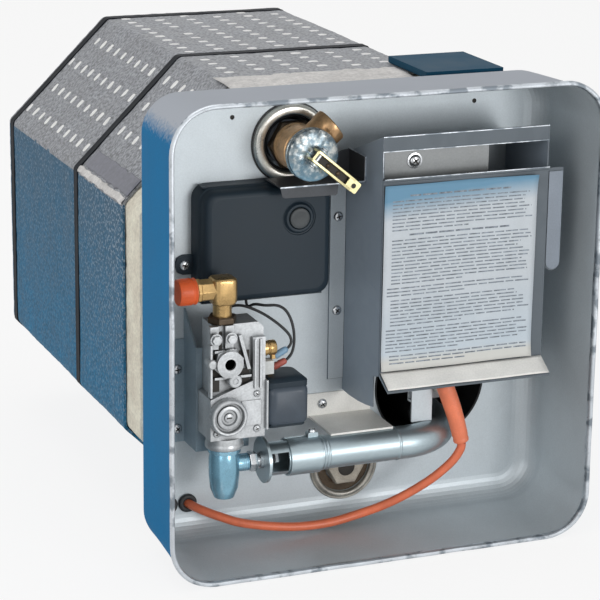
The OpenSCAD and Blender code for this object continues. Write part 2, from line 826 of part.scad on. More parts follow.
module relief_bonnet() color("#cfd3d6") in_frame() difference() {
    union() {
        lathe_y(relief_x, relief_z)
            polygon([
                [stem_r + run_gap, bonnet_face], [bonnet_r - 3, bonnet_face],
                [bonnet_r - 2, bonnet_face + 0.6], [bonnet_r, bonnet_face + 2.6],
                [bonnet_r, body_front], [stem_r + run_gap, body_front]
            ]);
        at_lever() for (z = [-ear_z - ear_t, ear_z])
            block([-4, 4], [pivot_y - 3, bonnet_face + past], [z, z + ear_t]);
    }
    at_lever() rod_z(0, pivot_y, lever_pin_r + fit, -ear_z - ear_t - past, ear_z + ear_t + past);
}

module relief_stem() color("#8c8f92") in_frame() union() {
    rod_y(relief_x, relief_z, stem_r, bonnet_face - past, seat_y - run_gap);
    rod_y(relief_x, relief_z, disc_r, seat_y - run_gap - disc_t, seat_y - run_gap);
}

module relief_spring() color("#70757a") in_frame() difference() {
    rod_y(relief_x, relief_z, disc_r - 1.5, body_front + stem_lift + run_gap, seat_y - run_gap - disc_t);
    rod_y(relief_x, relief_z, disc_r - 4, body_front, seat_y - run_gap);
}

module relief_lever() color("#c8a650") in_frame() at_lever() difference() {
    union() {
        block(
            [-lever_heel, lever_len],
            [lever_face, lever_face + lever_t],
            [-lever_w / 2, lever_w / 2]
        );
        for (z = [-lever_w / 2, lever_w / 2 - lever_t])
            translate([0, 0, z]) linear_extrude(lever_t)
                polygon([
                    [-lever_heel, lever_face], [lever_len, lever_face], [lever_len, lever_face + 4],
                    [8, lever_face + lever_h], [-lever_heel, lever_face + lever_h]
                ]);
    }
    rod_z(0, pivot_y, lever_pin_r + pin_gap, -lever_w, lever_w);
    rod_y(lever_len - 6, 0, 1.8, lever_face - past, lever_face + lever_t + past);
}

module lever_pin() color("#9a9da0") in_frame() at_lever()
    rod_z(0, pivot_y, lever_pin_r, -ear_z - ear_t, ear_z + ear_t);

module drip_shield() color("#8e9296") in_frame() difference() {
    union() {
        block(
            [flue_box_x - shield_len, flue_box_x],
            [pan_depth - shield_d, pan_depth],
            [shield_top - shield_t, shield_top]
        );
        block(
            [flue_box_x - shield_t, flue_box_x],
            [pan_depth - shield_d, pan_depth - port_ring_d - past],
            [shield_top - shield_t, shield_top + shield_h]
        );
    }
    ring_room();
}

// Room for the port ring
module ring_room() {
    rod_y(
        relief_x, relief_z, port_ring_r + run_gap,
        pan_depth - port_ring_d - run_gap, pan_depth + past
    );
}

// Body of the thermostat cover, moved in by t
module cover_volume(t, back) {
    skin(concat(
        [for (a = [0:30:90])
            let (inset = t + cover_edge_r * (1 - sin(a)))
            round_ring(
                cover_w - 2 * inset, cover_h - 2 * inset, cover_r - inset * 0.6,
                cover_front + t + cover_edge_r * (1 - cos(a)), cover_mid_x, cover_mid_z
            )],
        [round_ring(
            cover_w - 2 * t, cover_h - 2 * t, cover_r - t * 0.6,
            back, cover_mid_x, cover_mid_z
        )]
    ));
}

module thermostat_cover() color("#2b2f35") in_frame() difference() {
    union() {
        cover_volume(0, pan_depth);
        rod_y(button_x, button_z, boss_r, cover_front - boss_proud, cover_front + cover_t);
        block(
            [cover_left - cover_ear_w, cover_left + cover_t / 2],
            [pan_depth - cover_ear_t, pan_depth],
            [cover_ear_z - 7, cover_ear_z + 7]
        );
    }
    cover_volume(cover_t, pan_depth + past);
    rod_y(
        button_x, button_z, boss_r - boss_wall,
        cover_front - boss_proud - past, cover_front + cover_t + past
    );
    panel_holes(screw_r + fit, pan_depth - cover_ear_t - past, pan_depth + past);
    ring_room();
}

module limit_switch() color("#3c3f44") in_frame() union() {
    block([button_x - 18, button_x + 18], [switch_front, pan_depth], [button_z - 16, button_z + 16]);
    block(
        [button_x - 12, button_x - 6],
        [switch_front - 4, switch_front],
        [button_z - 14, button_z - 8]
    );
}

module reset_button() color("#4b5058") in_frame() union() {
    rod_y(button_x, button_z, button_r, cover_front - button_proud, button_inner);
    rod_y(button_x, button_z, button_r + 2, cover_front + cover_t + run_gap, cover_front + cover_t + 2);
}

// Side wall of the flue box, from x0 to x1
module flue_side(x0, x1) {
    along_x(x0, x1)
        polygon([
            [flue_front, -flue_bottom], [pan_depth, flue_low_back],
            [pan_depth, flue_top_back], [flue_front, flue_top]
        ]);
}

module flue_box() color("#8f9498") in_frame() difference() {
    union() {
        flue_side(flue_box_x, flue_box_x + flue_sheet);
        flue_side(flue_right - flue_sheet, flue_right);
        along_x(flue_box_x, flue_right)
            polygon([
                [flue_front, flue_top - flue_sheet], [pan_depth, flue_top_back - flue_sheet],
                [pan_depth, flue_top_back], [flue_front, flue_top]
            ]);
        block([flue_box_x, flue_right], [flue_front, flue_front + flue_sheet], [window_top, flue_top]);
        block(
            [flue_box_x - flange_w, flue_box_x + flue_sheet],
            [pan_depth - flue_sheet, pan_depth],
            [flue_low_back, shield_top - shield_t - run_gap]
        );
        along_y(flue_front, flue_front + flue_sheet) union() {
            translate([flue_right - flue_sheet, tab_low])
                square([tab_w + flue_sheet, plate_top - tab_low]);
            translate([flue_right + tab_w / 2, tab_low]) circle(d = tab_w);
        }
    }
    panel_holes(screw_r + fit, pan_depth - flue_sheet - past, pan_depth + past);
}

module flue_front_plate() color("#a4a8ab") in_frame() {
    along_x(flue_box_x + run_gap, flue_right - run_gap)
        polygon([
            [flue_front, plate_top], [flue_front - plate_t, plate_top + 1],
            [flue_front - plate_t - 2, plate_top + 1],
            [flue_front - plate_t - 2, plate_top], [flue_front - plate_t, plate_top - 1],
            [flue_front - plate_t, -flue_bottom + plate_t],
            [flue_front - lip_reach, -flue_bottom - lip_fall + plate_t],
            [flue_front - lip_reach, -flue_bottom - lip_fall], [flue_front, -flue_bottom]
        ]);
}

module label_sheet() color("#e8e8e4") in_frame()
    block(
        [flue_box_x + 3, flue_right - 6],
        [flue_front - plate_t - label_t, flue_front - plate_t],
        [-flue_bottom + 4, plate_top - 3]
    );

module flue_baffle() color("#b4b2ad") in_frame() difference() {
    union() {
        block(
            [flue_box_x + flue_sheet + fit, flue_box_x + baffle_w],
            [baffle_y, baffle_y + flue_sheet],
            [baffle_floor, window_top - 3]
        );
        block(
            [flue_box_x + flue_sheet + fit, flue_right - flue_sheet - fit],
            [baffle_y, pan_depth],
            [baffle_floor, baffle_floor + flue_sheet]
        );
    }
    rod_y(
        flue_box_x + 29, plate_top + window_h / 2, screw_r + fit,
        baffle_y - past, baffle_y + flue_sheet + past
    );
}

// Burner tube of radius r from x0 round the bend to y1
module burner_run(r, x0, y1) {
    rod_x(burner_y, burner_z, r, x0, bend_x);
    translate([bend_x, bend_y, burner_z]) rotate([0, 0, -90])
        rotate_extrude(angle = 90) translate([burner_bend_r, 0]) circle(r = r);
    rod_y(burner_leg_x, burner_z, r, bend_y, y1);
}

module burner_tube() color("#c3c8cc") in_frame() difference() {
    union() {
        burner_run(burner_r, burner_left, leg_end);
        rod_x(burner_y, burner_z, burner_flange_r, burner_left, burner_left + flange_t);
    }
    burner_run(burner_r - burner_wall, burner_left + flange_t, leg_end + past);
    rod_x(burner_y, burner_z, 6 + fit, burner_left - past, burner_left + flange_t + past);
    block(
        [slot_left, slot_right],
        [burner_y - 2 * burner_r, burner_y + 2 * burner_r],
        [burner_z - 7, burner_z + 7]
    );
}

module burner_head() color("#77797b") in_frame() difference() {
    rod_y(burner_leg_x, burner_z, head_r, leg_end - 8, leg_end + head_len);
    rod_y(burner_leg_x, burner_z, burner_r + fit, leg_end - 8 - past, leg_end);
    rod_y(burner_leg_x, burner_z, burner_r - 1, leg_end - past, leg_end + head_len - 2);
    for (i = [0:5])
        block(
            [burner_leg_x - 6, burner_leg_x + 6],
            [leg_end + 8 + 10 * i, leg_end + 11 + 10 * i],
            [burner_z, burner_z + 2 * head_r]
        );
}

module air_shutter() color("#d2d5d8") in_frame() difference() {
    union() {
        rod_x(burner_y, burner_z, shutter_r, shutter_left, shutter_right);
        block(
            [shutter_right - 8, shutter_right],
            [burner_y - 3, burner_y + 3],
            [burner_z + burner_r, burner_z + shutter_r + 3]
        );
    }
    rod_x(burner_y, burner_z, shutter_bore_r, shutter_left - past, shutter_right + past);
    rod_z(lug_x, burner_y, screw_r + fit, burner_z + burner_r, lug_top + past);
}

module shutter_screw() color("#8d9092") in_frame() union() {
    rod_z(lug_x, burner_y, screw_r, burner_z + shutter_bore_r + fit, lug_top + past);
    rod_z(lug_x, burner_y, screw_head_r - 0.8, lug_top, lug_top + 2);
}

module burner_bracket() color("#b3b6b8") in_frame() difference() {
    union() {
        block(
            [bracket_left, bracket_right],
            [pan_depth - bracket_t, pan_depth],
            [bracket_z, bracket_z + burner_bracket_h]
        );
        block(
            [bracket_left + burner_bracket_step, bracket_right],
            [burner_y - 2, pan_depth],
            [bracket_z, bracket_z + bracket_t]
        );
    }
    panel_holes(screw_r + fit, pan_depth - bracket_t - past, pan_depth + past);
}

// Upright plate on the burner's bend that carries the electrode
module electrode_bracket() color("#8b9094") in_frame() difference() {
    union() {
        block(
            [holder_left, holder_right],
            [burner_y + 6, burner_y + 6 + bracket_t],
            [bracket_z, ceramic_z + 8]
        );
        block(
            [holder_left, ceramic_x + ceramic_r + 3],
            [burner_y + 12, burner_y + 12 + bracket_t],
            [ceramic_z - 8, ceramic_z + 8]
        );
        block(
            [holder_left, holder_right],
            [burner_y + 6, burner_y + 12 + bracket_t],
            [ceramic_z - 8, ceramic_z - 8 + bracket_t]
        );
    }
    rod_y(ceramic_x, ceramic_z, ceramic_r + fit, burner_y, pan_depth);
}

module electrode() color("#e4e0d6") in_frame() union() {
    rod_y(ceramic_x, ceramic_z, ceramic_r, ceramic_front, ceramic_front + ceramic_len);
    rod_y(
        ceramic_x, ceramic_z, spark_rod_r,
        ceramic_front + ceramic_len, ceramic_front + ceramic_len + spark_rod_len
    );
}

module lead_boot() color("#d9572b") in_frame() rod_between(boot_top, boot_low, boot_r, boot_r - 1);

module ignition_lead() color("#d9572b") in_frame() sweep(lead_route, lead_r, 10, [0, -0.6, 0.8]);

module lead_grommets() color("#1d1f21") in_frame() for (g = grommet_spots)
    lathe_y(g[0], g[1])
        polygon([
            [lead_r + fit, pan_depth - 3], [grommet_r + grommet_lip - 1, pan_depth - 3],
            [grommet_r + grommet_lip, pan_depth - 2], [grommet_r + grommet_lip, pan_depth],
            [grommet_r, pan_depth], [grommet_r, pan_back + 2], [lead_r + fit, pan_back + 2]
        ]);

module gas_valve_body() color("#b7bbbf") in_frame() difference() {
    union() {
        rod_z(valve_x, burner_y, 13, fitting_top, valve_low);
        along_y(valve_front, valve_back)
            polygon([
                [valve_left, valve_low], [valve_right, valve_low], [valve_right, valve_low + 44],
                [valve_left + 22, valve_low + 38], [valve_left, valve_low + 30]
            ]);
        along_y(valve_front + 4, valve_back)
            polygon([
                [valve_left + 3, valve_low + 20], [valve_right, valve_low + 20],
                [valve_right, valve_top - 4],
                [valve_right - 4, valve_top], [valve_left + 3, valve_top]
            ]);
        block(
            [valve_right - 9, valve_right],
            [valve_front, valve_back],
            [valve_low + 30, valve_top - 10]
        );
        for (x = [valve_left, valve_left + 11])
            block([x, x + 6], [valve_front + 1, valve_front + 6], [valve_top - 16, valve_top]);
        rod_y(tap_x, tap_z, tap_r, valve_front - 4, valve_front + 6);
        rod_y(tap_x + 4, valve_low + 43, 5, valve_front, valve_front + 6);
        rod_y(valve_left + 1, valve_top - 26, 3.5, valve_front - 1, valve_front + 6);
    }
    rod_y(tap_x, tap_z, 4, valve_front - 4 - past, valve_front + 3);
    rod_z(elbow_x, burner_y, elbow_r - 3, valve_top - 20, valve_top + past);
    rod_x(coil_mid_y, coil_mid_z, plunger_r + fit, plunger_left - 3, valve_right + past);
}

module regulator_cap() color("#c2c6c9") in_frame() lathe_y(regulator_x, regulator_z)
    polygon([
        [0, valve_front - 5], [2, valve_front - 5], [2.6, valve_front - 3.6], [5.2, valve_front - 3.6],
        [5.8, valve_front - 5], [8.2, valve_front - 5],
        [8.8, valve_front - 3.6], [regulator_r - 3, valve_front - 3.6],
        [regulator_r - 2.4, valve_front - 6.4], [regulator_r - 0.8, valve_front - 6.4],
        [regulator_r, valve_front - 5.6], [regulator_r, valve_front], [0, valve_front]
    ]);

module solenoid_coil() color("#22262b") in_frame() difference() {
    along_x(valve_right, coil_right)
        polygon([
            [coil_mid_y - coil_half_d + 4, coil_low], [coil_mid_y + coil_half_d, coil_low],
            [coil_mid_y + coil_half_d, coil_low + coil_h],
            [coil_mid_y - coil_half_d + 4, coil_low + coil_h],
            [coil_mid_y - coil_half_d, coil_low + coil_h - 4], [coil_mid_y - coil_half_d, coil_low + 4]
        ]);
    block(
        [coil_right - 9, coil_right + past],
        [coil_mid_y - 2 * coil_half_d, coil_mid_y + 2 * coil_half_d],
        [coil_low + coil_h - 7, coil_low + coil_h + past]
    );
    rod_x(coil_mid_y, coil_mid_z, plunger_r + fit, valve_right - past, coil_right - 4);
}

module solenoid_plunger() color("#9aa0a5") in_frame()
    rod_x(coil_mid_y, coil_mid_z, plunger_r, plunger_left, plunger_left + plunger_len);

module inlet_elbow() color("#b5894a") in_frame() difference() {
    union() {
        rod_z(elbow_x, burner_y, elbow_r, valve_top, elbow_z);
        translate([elbow_x, burner_y, elbow_z]) sphere(r = elbow_r);
        rod_x(burner_y, elbow_z, elbow_r, elbow_left, elbow_x);
        rod_x(burner_y, elbow_z, elbow_collar_r, elbow_left, elbow_left + 9);
        translate([elbow_x, burner_y, valve_top]) cylinder(r = elbow_r + 3, h = 6, $fn = 6);
    }
    rod_z(elbow_x, burner_y, elbow_r - 3, valve_top - past, elbow_z);
    rod_x(burner_y, elbow_z, elbow_r - 3, elbow_left - past, elbow_x);
}

module inlet_cap() color("#e2552a") in_frame() difference() {
    rod_x(
        burner_y, elbow_z, transit_cap_r,
        elbow_left + cap_overlap - transit_cap_len, elbow_left + cap_overlap
    );
    rod_x(burner_y, elbow_z, elbow_collar_r + fit, elbow_left, elbow_left + cap_overlap + past);
}

module outlet_fitting() color("#7f9fb2") in_frame() difference() {
    union() {
        translate([valve_x, burner_y, burner_z]) rotate_extrude()
            polygon([
                [0, -tee_drop], [fitting_body_r - 4, -tee_drop],
                [fitting_body_r - 0.6, 8 - tee_drop],
                [fitting_body_r, -6], [fitting_body_r, 6], [fitting_body_r - 1.5, tee_rise - 2],
                [fitting_body_r - 1.5, tee_rise], [0, tee_rise]
            ]);
        rod_x(burner_y, burner_z, 7.5, valve_x, nut_left);
    }
    rod_z(valve_x, burner_y, 4, burner_z, fitting_top + past);
    rod_x(burner_y, burner_z, 4, valve_x, nut_left + past);
}

module orifice_nozzle() color("#c9ccce") in_frame() difference() {
    union() {
        translate([nut_left, burner_y, burner_z]) rotate([0, 90, 0])
            cylinder(r = 10.5, h = nut_len, $fn = 6);
        rod_x(burner_y, burner_z, 6, burner_left, burner_left + flange_t + 4);
        translate([burner_left + flange_t + 4, burner_y, burner_z]) rotate([0, 90, 0])
            cylinder(r1 = 6, r2 = 3, h = 4);
    }
    rod_x(burner_y, burner_z, 2.5, nut_left - past, burner_left + 4);
    rod_x(burner_y, burner_z, 0.7, burner_left, burner_left + flange_t + 8 + past);
}

module valve_terminals() color("#cfae5a") in_frame() {
    rod_x(burner_y - 4, valve_top - 20.5, 5.5, valve_right, valve_right + 10);
    block([valve_right, valve_right + 8], [burner_y - 8, burner_y], [valve_top - 39, valve_top - 29]);
    block(
        [sleeve_a[0][0] - 5, sleeve_a[0][0]],
        [sleeve_a[0][1] - 1, sleeve_a[0][1] + 1],
        [coil_low + coil_h, sleeve_a[0][2] + 2]
    );
    block(
        [sleeve_b[0][0] - 3, sleeve_b[0][0]],
        [sleeve_b[0][1] - 2, sleeve_b[0][1] + 2],
        [sleeve_b[0][2] - 1.5, sleeve_b[0][2] + 1.5]
    );
}

module wire_sleeves() color("#6f93b8") in_frame() {
    rod_between(sleeve_a[0], sleeve_a[1], sleeve_r, sleeve_r);
    rod_between(sleeve_b[0], sleeve_b[1], sleeve_r, sleeve_r);
}

module valve_wires() color("#1b1d1f") in_frame() {
    sweep(wire_a, wire_r, 8, [0.5, 0.8, 0]);
    sweep(wire_b, wire_r, 8, [0.5, 0.8, 0]);
}

module valve_bracket() color("#5c646c") in_frame() difference() {
    union() {
        block(
            [valve_bracket_left, valve_left],
            [pan_depth - bracket_t, pan_depth],
            [valve_bracket_low, valve_bracket_high]
        );
        block(
            [valve_left - bracket_t, valve_left],
            [valve_back, pan_depth],
            [valve_bracket_low, valve_bracket_high]
        );
        block(
            [valve_left - bracket_t, valve_right - 2],
            [valve_back, valve_back + bracket_t],
            [valve_bracket_low, valve_bracket_high]
        );
        along_x(valve_left - bracket_t, valve_left)
            polygon([
                [valve_back, gusset_low], [pan_depth, gusset_low], [pan_depth, gusset_low + gusset_h]
            ]);
    }
    panel_holes(screw_r + fit, pan_depth - bracket_t - past, pan_depth + past);
}

module drain_collar() color("#b8b39a") in_frame() lathe_y(drain_at, drain_z)
    polygon([
        [drain_hole_r, pan_depth], [drain_hole_r, pan_depth - 1.5], [drain_hole_r + 1.5, pan_depth - 3],
        [drain_collar_r - 1.5, pan_depth - 3], [drain_collar_r, pan_depth - 1.5],
        [drain_collar_r, pan_depth]
    ]);

module drain_plug() color("#8c7f52") in_frame() union() {
    translate([drain_at, spud_front, drain_z]) rotate([90, 0, 0])
        cylinder(r = drain_hex_r, h = 9, $fn = 6);
    rod_y(drain_at, drain_z, drain_thread_r, spud_front, spud_back);
}

module anode_rod() color("#9d9a90") in_frame()
    rod_y(drain_at, drain_z, anode_r, spud_back, spud_back + anode_len);

module screw_y(x, z, seat, reach) {
    lathe_y(x, z)
        polygon([
            [0, seat - screw_head_h], [screw_head_r * 0.6, seat - screw_head_h + 0.4],
            [screw_head_r, seat - 0.8], [screw_head_r, seat], [screw_r, seat],
            [screw_r, reach], [0, reach]
        ]);
}

module panel_screws() color("#b9bcbe") in_frame() for (s = panel_screws_at)
    screw_y(s[0], s[1], pan_depth - s[2], pan_back + screw_past);

module baffle_screw() color("#b9bcbe") in_frame()
    screw_y(flue_box_x + 29, plate_top + window_h / 2, baffle_y, baffle_y + flue_sheet + screw_past);

control_pan();
jacket_shell();
rear_cap();
front_insulation();
tank_insulation();
tank_shell();
flue_tube();
relief_spud();
drain_spud();
cold_inlet();
hot_outlet();
strap_front();
strap_rear();
junction_box();
junction_lid();
relief_port_ring();
relief_valve_body();
relief_bonnet();
relief_stem();
relief_spring();
relief_lever();
lever_pin();
drip_shield();
thermostat_cover();
limit_switch();
reset_button();
flue_box();
flue_front_plate();
flue_baffle();
label_sheet();
burner_tube();
air_shutter();
shutter_screw();
burner_head();
burner_bracket();
electrode_bracket();
electrode();
lead_boot();
ignition_lead();
lead_grommets();
gas_valve_body();
regulator_cap();
solenoid_coil();
solenoid_plunger();
inlet_elbow();
inlet_cap();
outlet_fitting();
orifice_nozzle();
valve_terminals();
wire_sleeves();
valve_wires();
valve_bracket();
drain_collar();
drain_plug();
anode_rod();
panel_screws();
baffle_screw();
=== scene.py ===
import math

import bmesh
import bpy
from mathutils import Matrix, Vector, noise


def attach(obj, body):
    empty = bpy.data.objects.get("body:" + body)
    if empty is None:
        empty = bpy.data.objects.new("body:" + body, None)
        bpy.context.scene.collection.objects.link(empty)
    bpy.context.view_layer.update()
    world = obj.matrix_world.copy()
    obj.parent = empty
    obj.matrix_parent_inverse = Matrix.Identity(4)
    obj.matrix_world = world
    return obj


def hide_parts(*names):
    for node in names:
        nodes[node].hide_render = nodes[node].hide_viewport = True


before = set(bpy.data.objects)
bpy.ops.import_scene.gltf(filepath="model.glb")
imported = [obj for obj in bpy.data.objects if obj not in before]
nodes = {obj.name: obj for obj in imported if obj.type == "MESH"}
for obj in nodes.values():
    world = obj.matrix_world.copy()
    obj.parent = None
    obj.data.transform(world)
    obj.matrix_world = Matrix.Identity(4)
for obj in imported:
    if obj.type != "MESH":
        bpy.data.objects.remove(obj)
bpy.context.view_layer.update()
scene = bpy.context.scene

# Places are in millimetres: X to the right, Y back from the rim plane, Z up from the tank's axis.
RIM_TO_ORIGIN = 243.5
AXIS_HEIGHT = 163.5
WALL = 86  # Y of the pan's back wall
RELIEF = (-42.92, 125.36)  # X and Z of the relief valve
LEVER_TURN = math.radians(39.5)
DRAIN = (2, -119)  # X and Z of the drain plug
BUTTON = (-44, 0, 76.36)
BURNER_Y = 45
BURNER_Z = -91.5
BURNER = (0, BURNER_Y, BURNER_Z)
FITTING_X = -106  # X of the gas valve's upright axis
STRAPS = {"front": 231, "rear": 408}  # Y of their middles
JACKET_W = 156  # half the jacket's width
JACKET_H = 163.5  # half its height
JACKET_FRONT = 118
JACKET_REAR = 415
DIAGONAL = math.sqrt(0.5)


def metres(x, y, z):
    """From those millimetres to the frame's metres."""
    return Vector((x / 1000, (y - RIM_TO_ORIGIN) / 1000, (z + AXIS_HEIGHT) / 1000))


# Shader nodes
def node(tree, kind, **settings):
    n = tree.nodes.new(kind)
    for key, value in settings.items():
        setattr(n, key, value)
    return n


def feed(tree, socket, value):
    """Links a socket to another one, or sets it to a plain value."""
    if isinstance(value, bpy.types.NodeSocket):
        tree.links.new(value, socket)
    else:
        socket.default_value = value


def mix(tree, fac, a, b, blend="MIX"):
    n = node(tree, "ShaderNodeMix", data_type="RGBA", blend_type=blend)
    for i, value in ((0, fac), (6, a), (7, b)):
        feed(tree, n.inputs[i], value)
    return n.outputs[2]


def calc(tree, op, a, b, clamp=False):
    n = node(tree, "ShaderNodeMath", operation=op, use_clamp=clamp)
    feed(tree, n.inputs[0], a)
    feed(tree, n.inputs[1], b)
    return n.outputs[0]


def ramp(tree, fac, lo, lo_color, hi, hi_color):
    n = node(tree, "ShaderNodeValToRGB")
    for stop, at, color in zip(n.color_ramp.elements, (lo, hi), (lo_color, hi_color)):
        stop.position = at
        stop.color = color
    tree.links.new(fac, n.inputs[0])
    return n.outputs[0]


def remap(tree, fac, lo, hi, to_lo, to_hi):
    n = node(tree, "ShaderNodeMapRange")
    tree.links.new(fac, n.inputs[0])
    for i, value in enumerate((lo, hi, to_lo, to_hi)):
        n.inputs[i + 1].default_value = value
    return n.outputs[0]


def speckle(tree, where, scale, detail=2.0, roughness=0.5):
    n = node(tree, "ShaderNodeTexNoise")
    for key, value in (("Scale", scale), ("Detail", detail), ("Roughness", roughness)):
        n.inputs[key].default_value = value
    tree.links.new(where, n.inputs["Vector"])
    return n.outputs["Fac"]


def position(tree):
    return node(tree, "ShaderNodeTexCoord").outputs["Object"]


def split(tree, vector):
    n = node(tree, "ShaderNodeSeparateXYZ")
    tree.links.new(vector, n.inputs[0])
    return n.outputs


def facing(tree):
    return split(tree, node(tree, "ShaderNodeNewGeometry").outputs["Normal"])


def grey(v):
    return (v, v, v, 1)


def shade(c, k):
    return (min(c[0] * k, 1), min(c[1] * k, 1), min(c[2] * k, 1), 1)


def material(name, color, rough, metal=0.0, vary=0.15, scale=35.0, grain=0.1, grain_scale=900.0,
             grain_width=0.2, bump=0.1, bump_scale=700.0, bump_mm=0.1, spangle=0.0, spangle_scale=110.0,
             stretch=(1, 1, 1), rough_vary=0.08, coat=0.0, spec=0.5, wear=0.0, wear_color=None,
             tint=None, painted_crevice_shade=0.0):
    """A colour that varies broadly (vary, scale) and finely (grain), with zinc cells (spangle), a tint that
    for some looks paints reflection, light or shade, worn edges, painted shade in corners and bump. The
    scales are per metre."""
    m = bpy.data.materials.new(name)
    m.use_nodes = True
    t = m.node_tree
    s = t.nodes["Principled BSDF"]
    s.inputs["Metallic"].default_value = metal
    s.inputs["Specular IOR Level"].default_value = spec
    if coat:
        s.inputs["Coat Weight"].default_value = coat
        s.inputs["Coat Roughness"].default_value = 0.15
    place = node(t, "ShaderNodeMapping")
    place.inputs["Scale"].default_value = stretch
    t.links.new(position(t), place.inputs[0])
    where = place.outputs[0]
    soft = 0.55
    broad = speckle(t, where, scale, 4.0, soft)
    fine = speckle(t, where, grain_scale, 2.0, soft)
    col = ramp(t, broad, 0.3, shade(color, 1 - vary), 0.7, shade(color, 1 + vary))
    grains = ramp(t, fine, 0.5 - grain_width, grey(1 - grain), 0.5 + grain_width, grey(1))
    col = mix(t, 1.0, col, grains, "MULTIPLY")
    rough_by = broad
    if spangle:
        cells = node(t, "ShaderNodeTexVoronoi")
        cells.inputs["Scale"].default_value = spangle_scale
        t.links.new(where, cells.inputs["Vector"])
        one = node(t, "ShaderNodeSeparateColor")
        t.links.new(cells.outputs["Color"], one.inputs[0])
        rough_by = one.outputs[0]
        col = mix(t, 1.0, col, ramp(t, rough_by, 0.0, grey(1 - spangle), 1.0, grey(1)), "MULTIPLY")
    if tint:
        col = tint(t, col, broad)
    if wear:
        edge = node(t, "ShaderNodeNewGeometry").outputs["Pointiness"]
        worn = calc(t, "MULTIPLY", remap(t, edge, 0.52, 0.58, 0, wear), fine, True)
        col = mix(t, worn, col, (*(wear_color or shade(color, 1.8)[:3]), 1))
    # ambient occlusion darkens the crevices: painted shade
    if painted_crevice_shade:
        crevice = node(t, "ShaderNodeAmbientOcclusion", samples=6)
        crevice.inputs["Distance"].default_value = 0.007
        dark = remap(t, crevice.outputs["AO"], 0.25, 0.85, 1 - painted_crevice_shade, 1)
        col = mix(t, 1.0, col, ramp(t, dark, 0.0, grey(0), 1.0, grey(1)), "MULTIPLY")
    t.links.new(col, s.inputs["Base Color"])
    least = max(rough - rough_vary, 0.02)
    t.links.new(remap(t, rough_by, 0.2, 0.8, least, rough + rough_vary), s.inputs["Roughness"])
    if bump:
        b = node(t, "ShaderNodeBump")
        b.inputs["Strength"].default_value = bump
        b.inputs["Distance"].default_value = bump_mm / 1000
        t.links.new(speckle(t, where, bump_scale, 3.0, soft), b.inputs["Height"])
        t.links.new(b.outputs[0], s.inputs["Normal"])
    return m


# Tints: each takes the node tree, the colour so far and the broad noise, and gives the new colour
def painted_blue_reflection(t, col, broad):
    """Painted blue reflection, darker under the slope as painted shade, with silver specks that thin out
    downwards and backwards.
    """
    where = position(t)
    _, y, z = split(t, where)
    col = mix(t, remap(t, z, 0.10, 0.25, 0, 0.7), col, (0.055, 0.105, 0.155, 1))
    amount = calc(t, "MULTIPLY", remap(t, z, 0.03, 0.25, 0.12, 0.62), remap(t, y, 0.0, -0.12, 0.55, 1.25))
    fleck = calc(t, "MULTIPLY", remap(t, speckle(t, where, 430, 1.5), 0.52, 0.64, 0, 1), amount, True)
    return mix(t, fleck, col, (0.36, 0.43, 0.50, 1))


def bare_top(t, col, broad):
    """Painted blue reflection on the outer wall, left off its upper faces, which show bare galvanised sheet,
    mottled at the turn.
    """
    blot = calc(t, "MULTIPLY", calc(t, "SUBTRACT", speckle(t, position(t), 420), 0.5), 0.5)
    up = remap(t, calc(t, "ADD", facing(t)[2], blot), 0.22, 0.62, 0, 1)
    return mix(t, up, col, (0.46, 0.49, 0.54, 1))


def hem_wear(t, col, broad):
    """Handled edge: dull dark stretches between bright ones."""
    dull = remap(t, speckle(t, position(t), 85, 3), 0.50, 0.40, 0, 0.8)
    return mix(t, dull, col, (0.13, 0.16, 0.19, 1))


def flue_painted_light_and_shade(t, col, broad):
    """Sheet darkened on its front faces by painted shade and made paler on its left ones by painted light."""
    x, y, _ = facing(t)
    col = mix(t, remap(t, y, -0.5, -0.9, 0, 0.9), col, (0.085, 0.102, 0.118, 1))
    return mix(t, remap(t, x, -0.5, -0.9, 0, 0.85), col, (0.30, 0.36, 0.43, 1))


def below(t, col, broad, start, end, most, color):
    """Mixes a colour in on faces that look down, with an uneven edge."""
    z = calc(t, "ADD", facing(t)[2], calc(t, "MULTIPLY", broad, 0.5))
    return mix(t, remap(t, z, start, end, 0, most), col, color)


# Painted blue reflection on the faces that look down.
def blue_reflection_below(t, col, broad):
    return below(t, col, broad, 0.3, -0.3, 0.7, (0.20, 0.36, 0.47, 1))


def blotches(t, col, broad):
    """Worn plating: dark pits and bright patches, and steel blue on the faces that look down as a painted
    reflection.
    """
    n = speckle(t, position(t), 300, 3)
    col = mix(t, remap(t, n, 0.52, 0.64, 0, 0.9), col, (0.58, 0.585, 0.555, 1))
    col = mix(t, remap(t, n, 0.45, 0.36, 0, 0.9), col, (0.09, 0.13, 0.16, 1))
    return below(t, col, broad, 0.35, -0.1, 0.75, (0.17, 0.33, 0.44, 1))


def label_print_and_reflection(t, col, broad):
    """A light-blue band at the head, a painted reflection that fades into the paper, lower at the left; a
    cooler blue towards the top, also a painted reflection; and a cream foot.
    """
    x, _, z = split(t, position(t))
    sloped = calc(t, "ADD", z, calc(t, "MULTIPLY", x, -0.08))
    height = calc(t, "ADD", sloped, calc(t, "MULTIPLY", broad, 0.006))
    col = mix(t, remap(t, height, 0.246, 0.261, 0, 1), col, (0.15, 0.30, 0.43, 1))
    cool_reflection = remap(t, calc(t, "ADD", z, calc(t, "MULTIPLY", broad, 0.05)), 0.22, 0.17, 0, 0.45)
    col = mix(t, cool_reflection, col, (0.47, 0.58, 0.67, 1))
    return mix(t, remap(t, z, 0.148, 0.142, 0, 0.85), col, (0.64, 0.63, 0.585, 1))


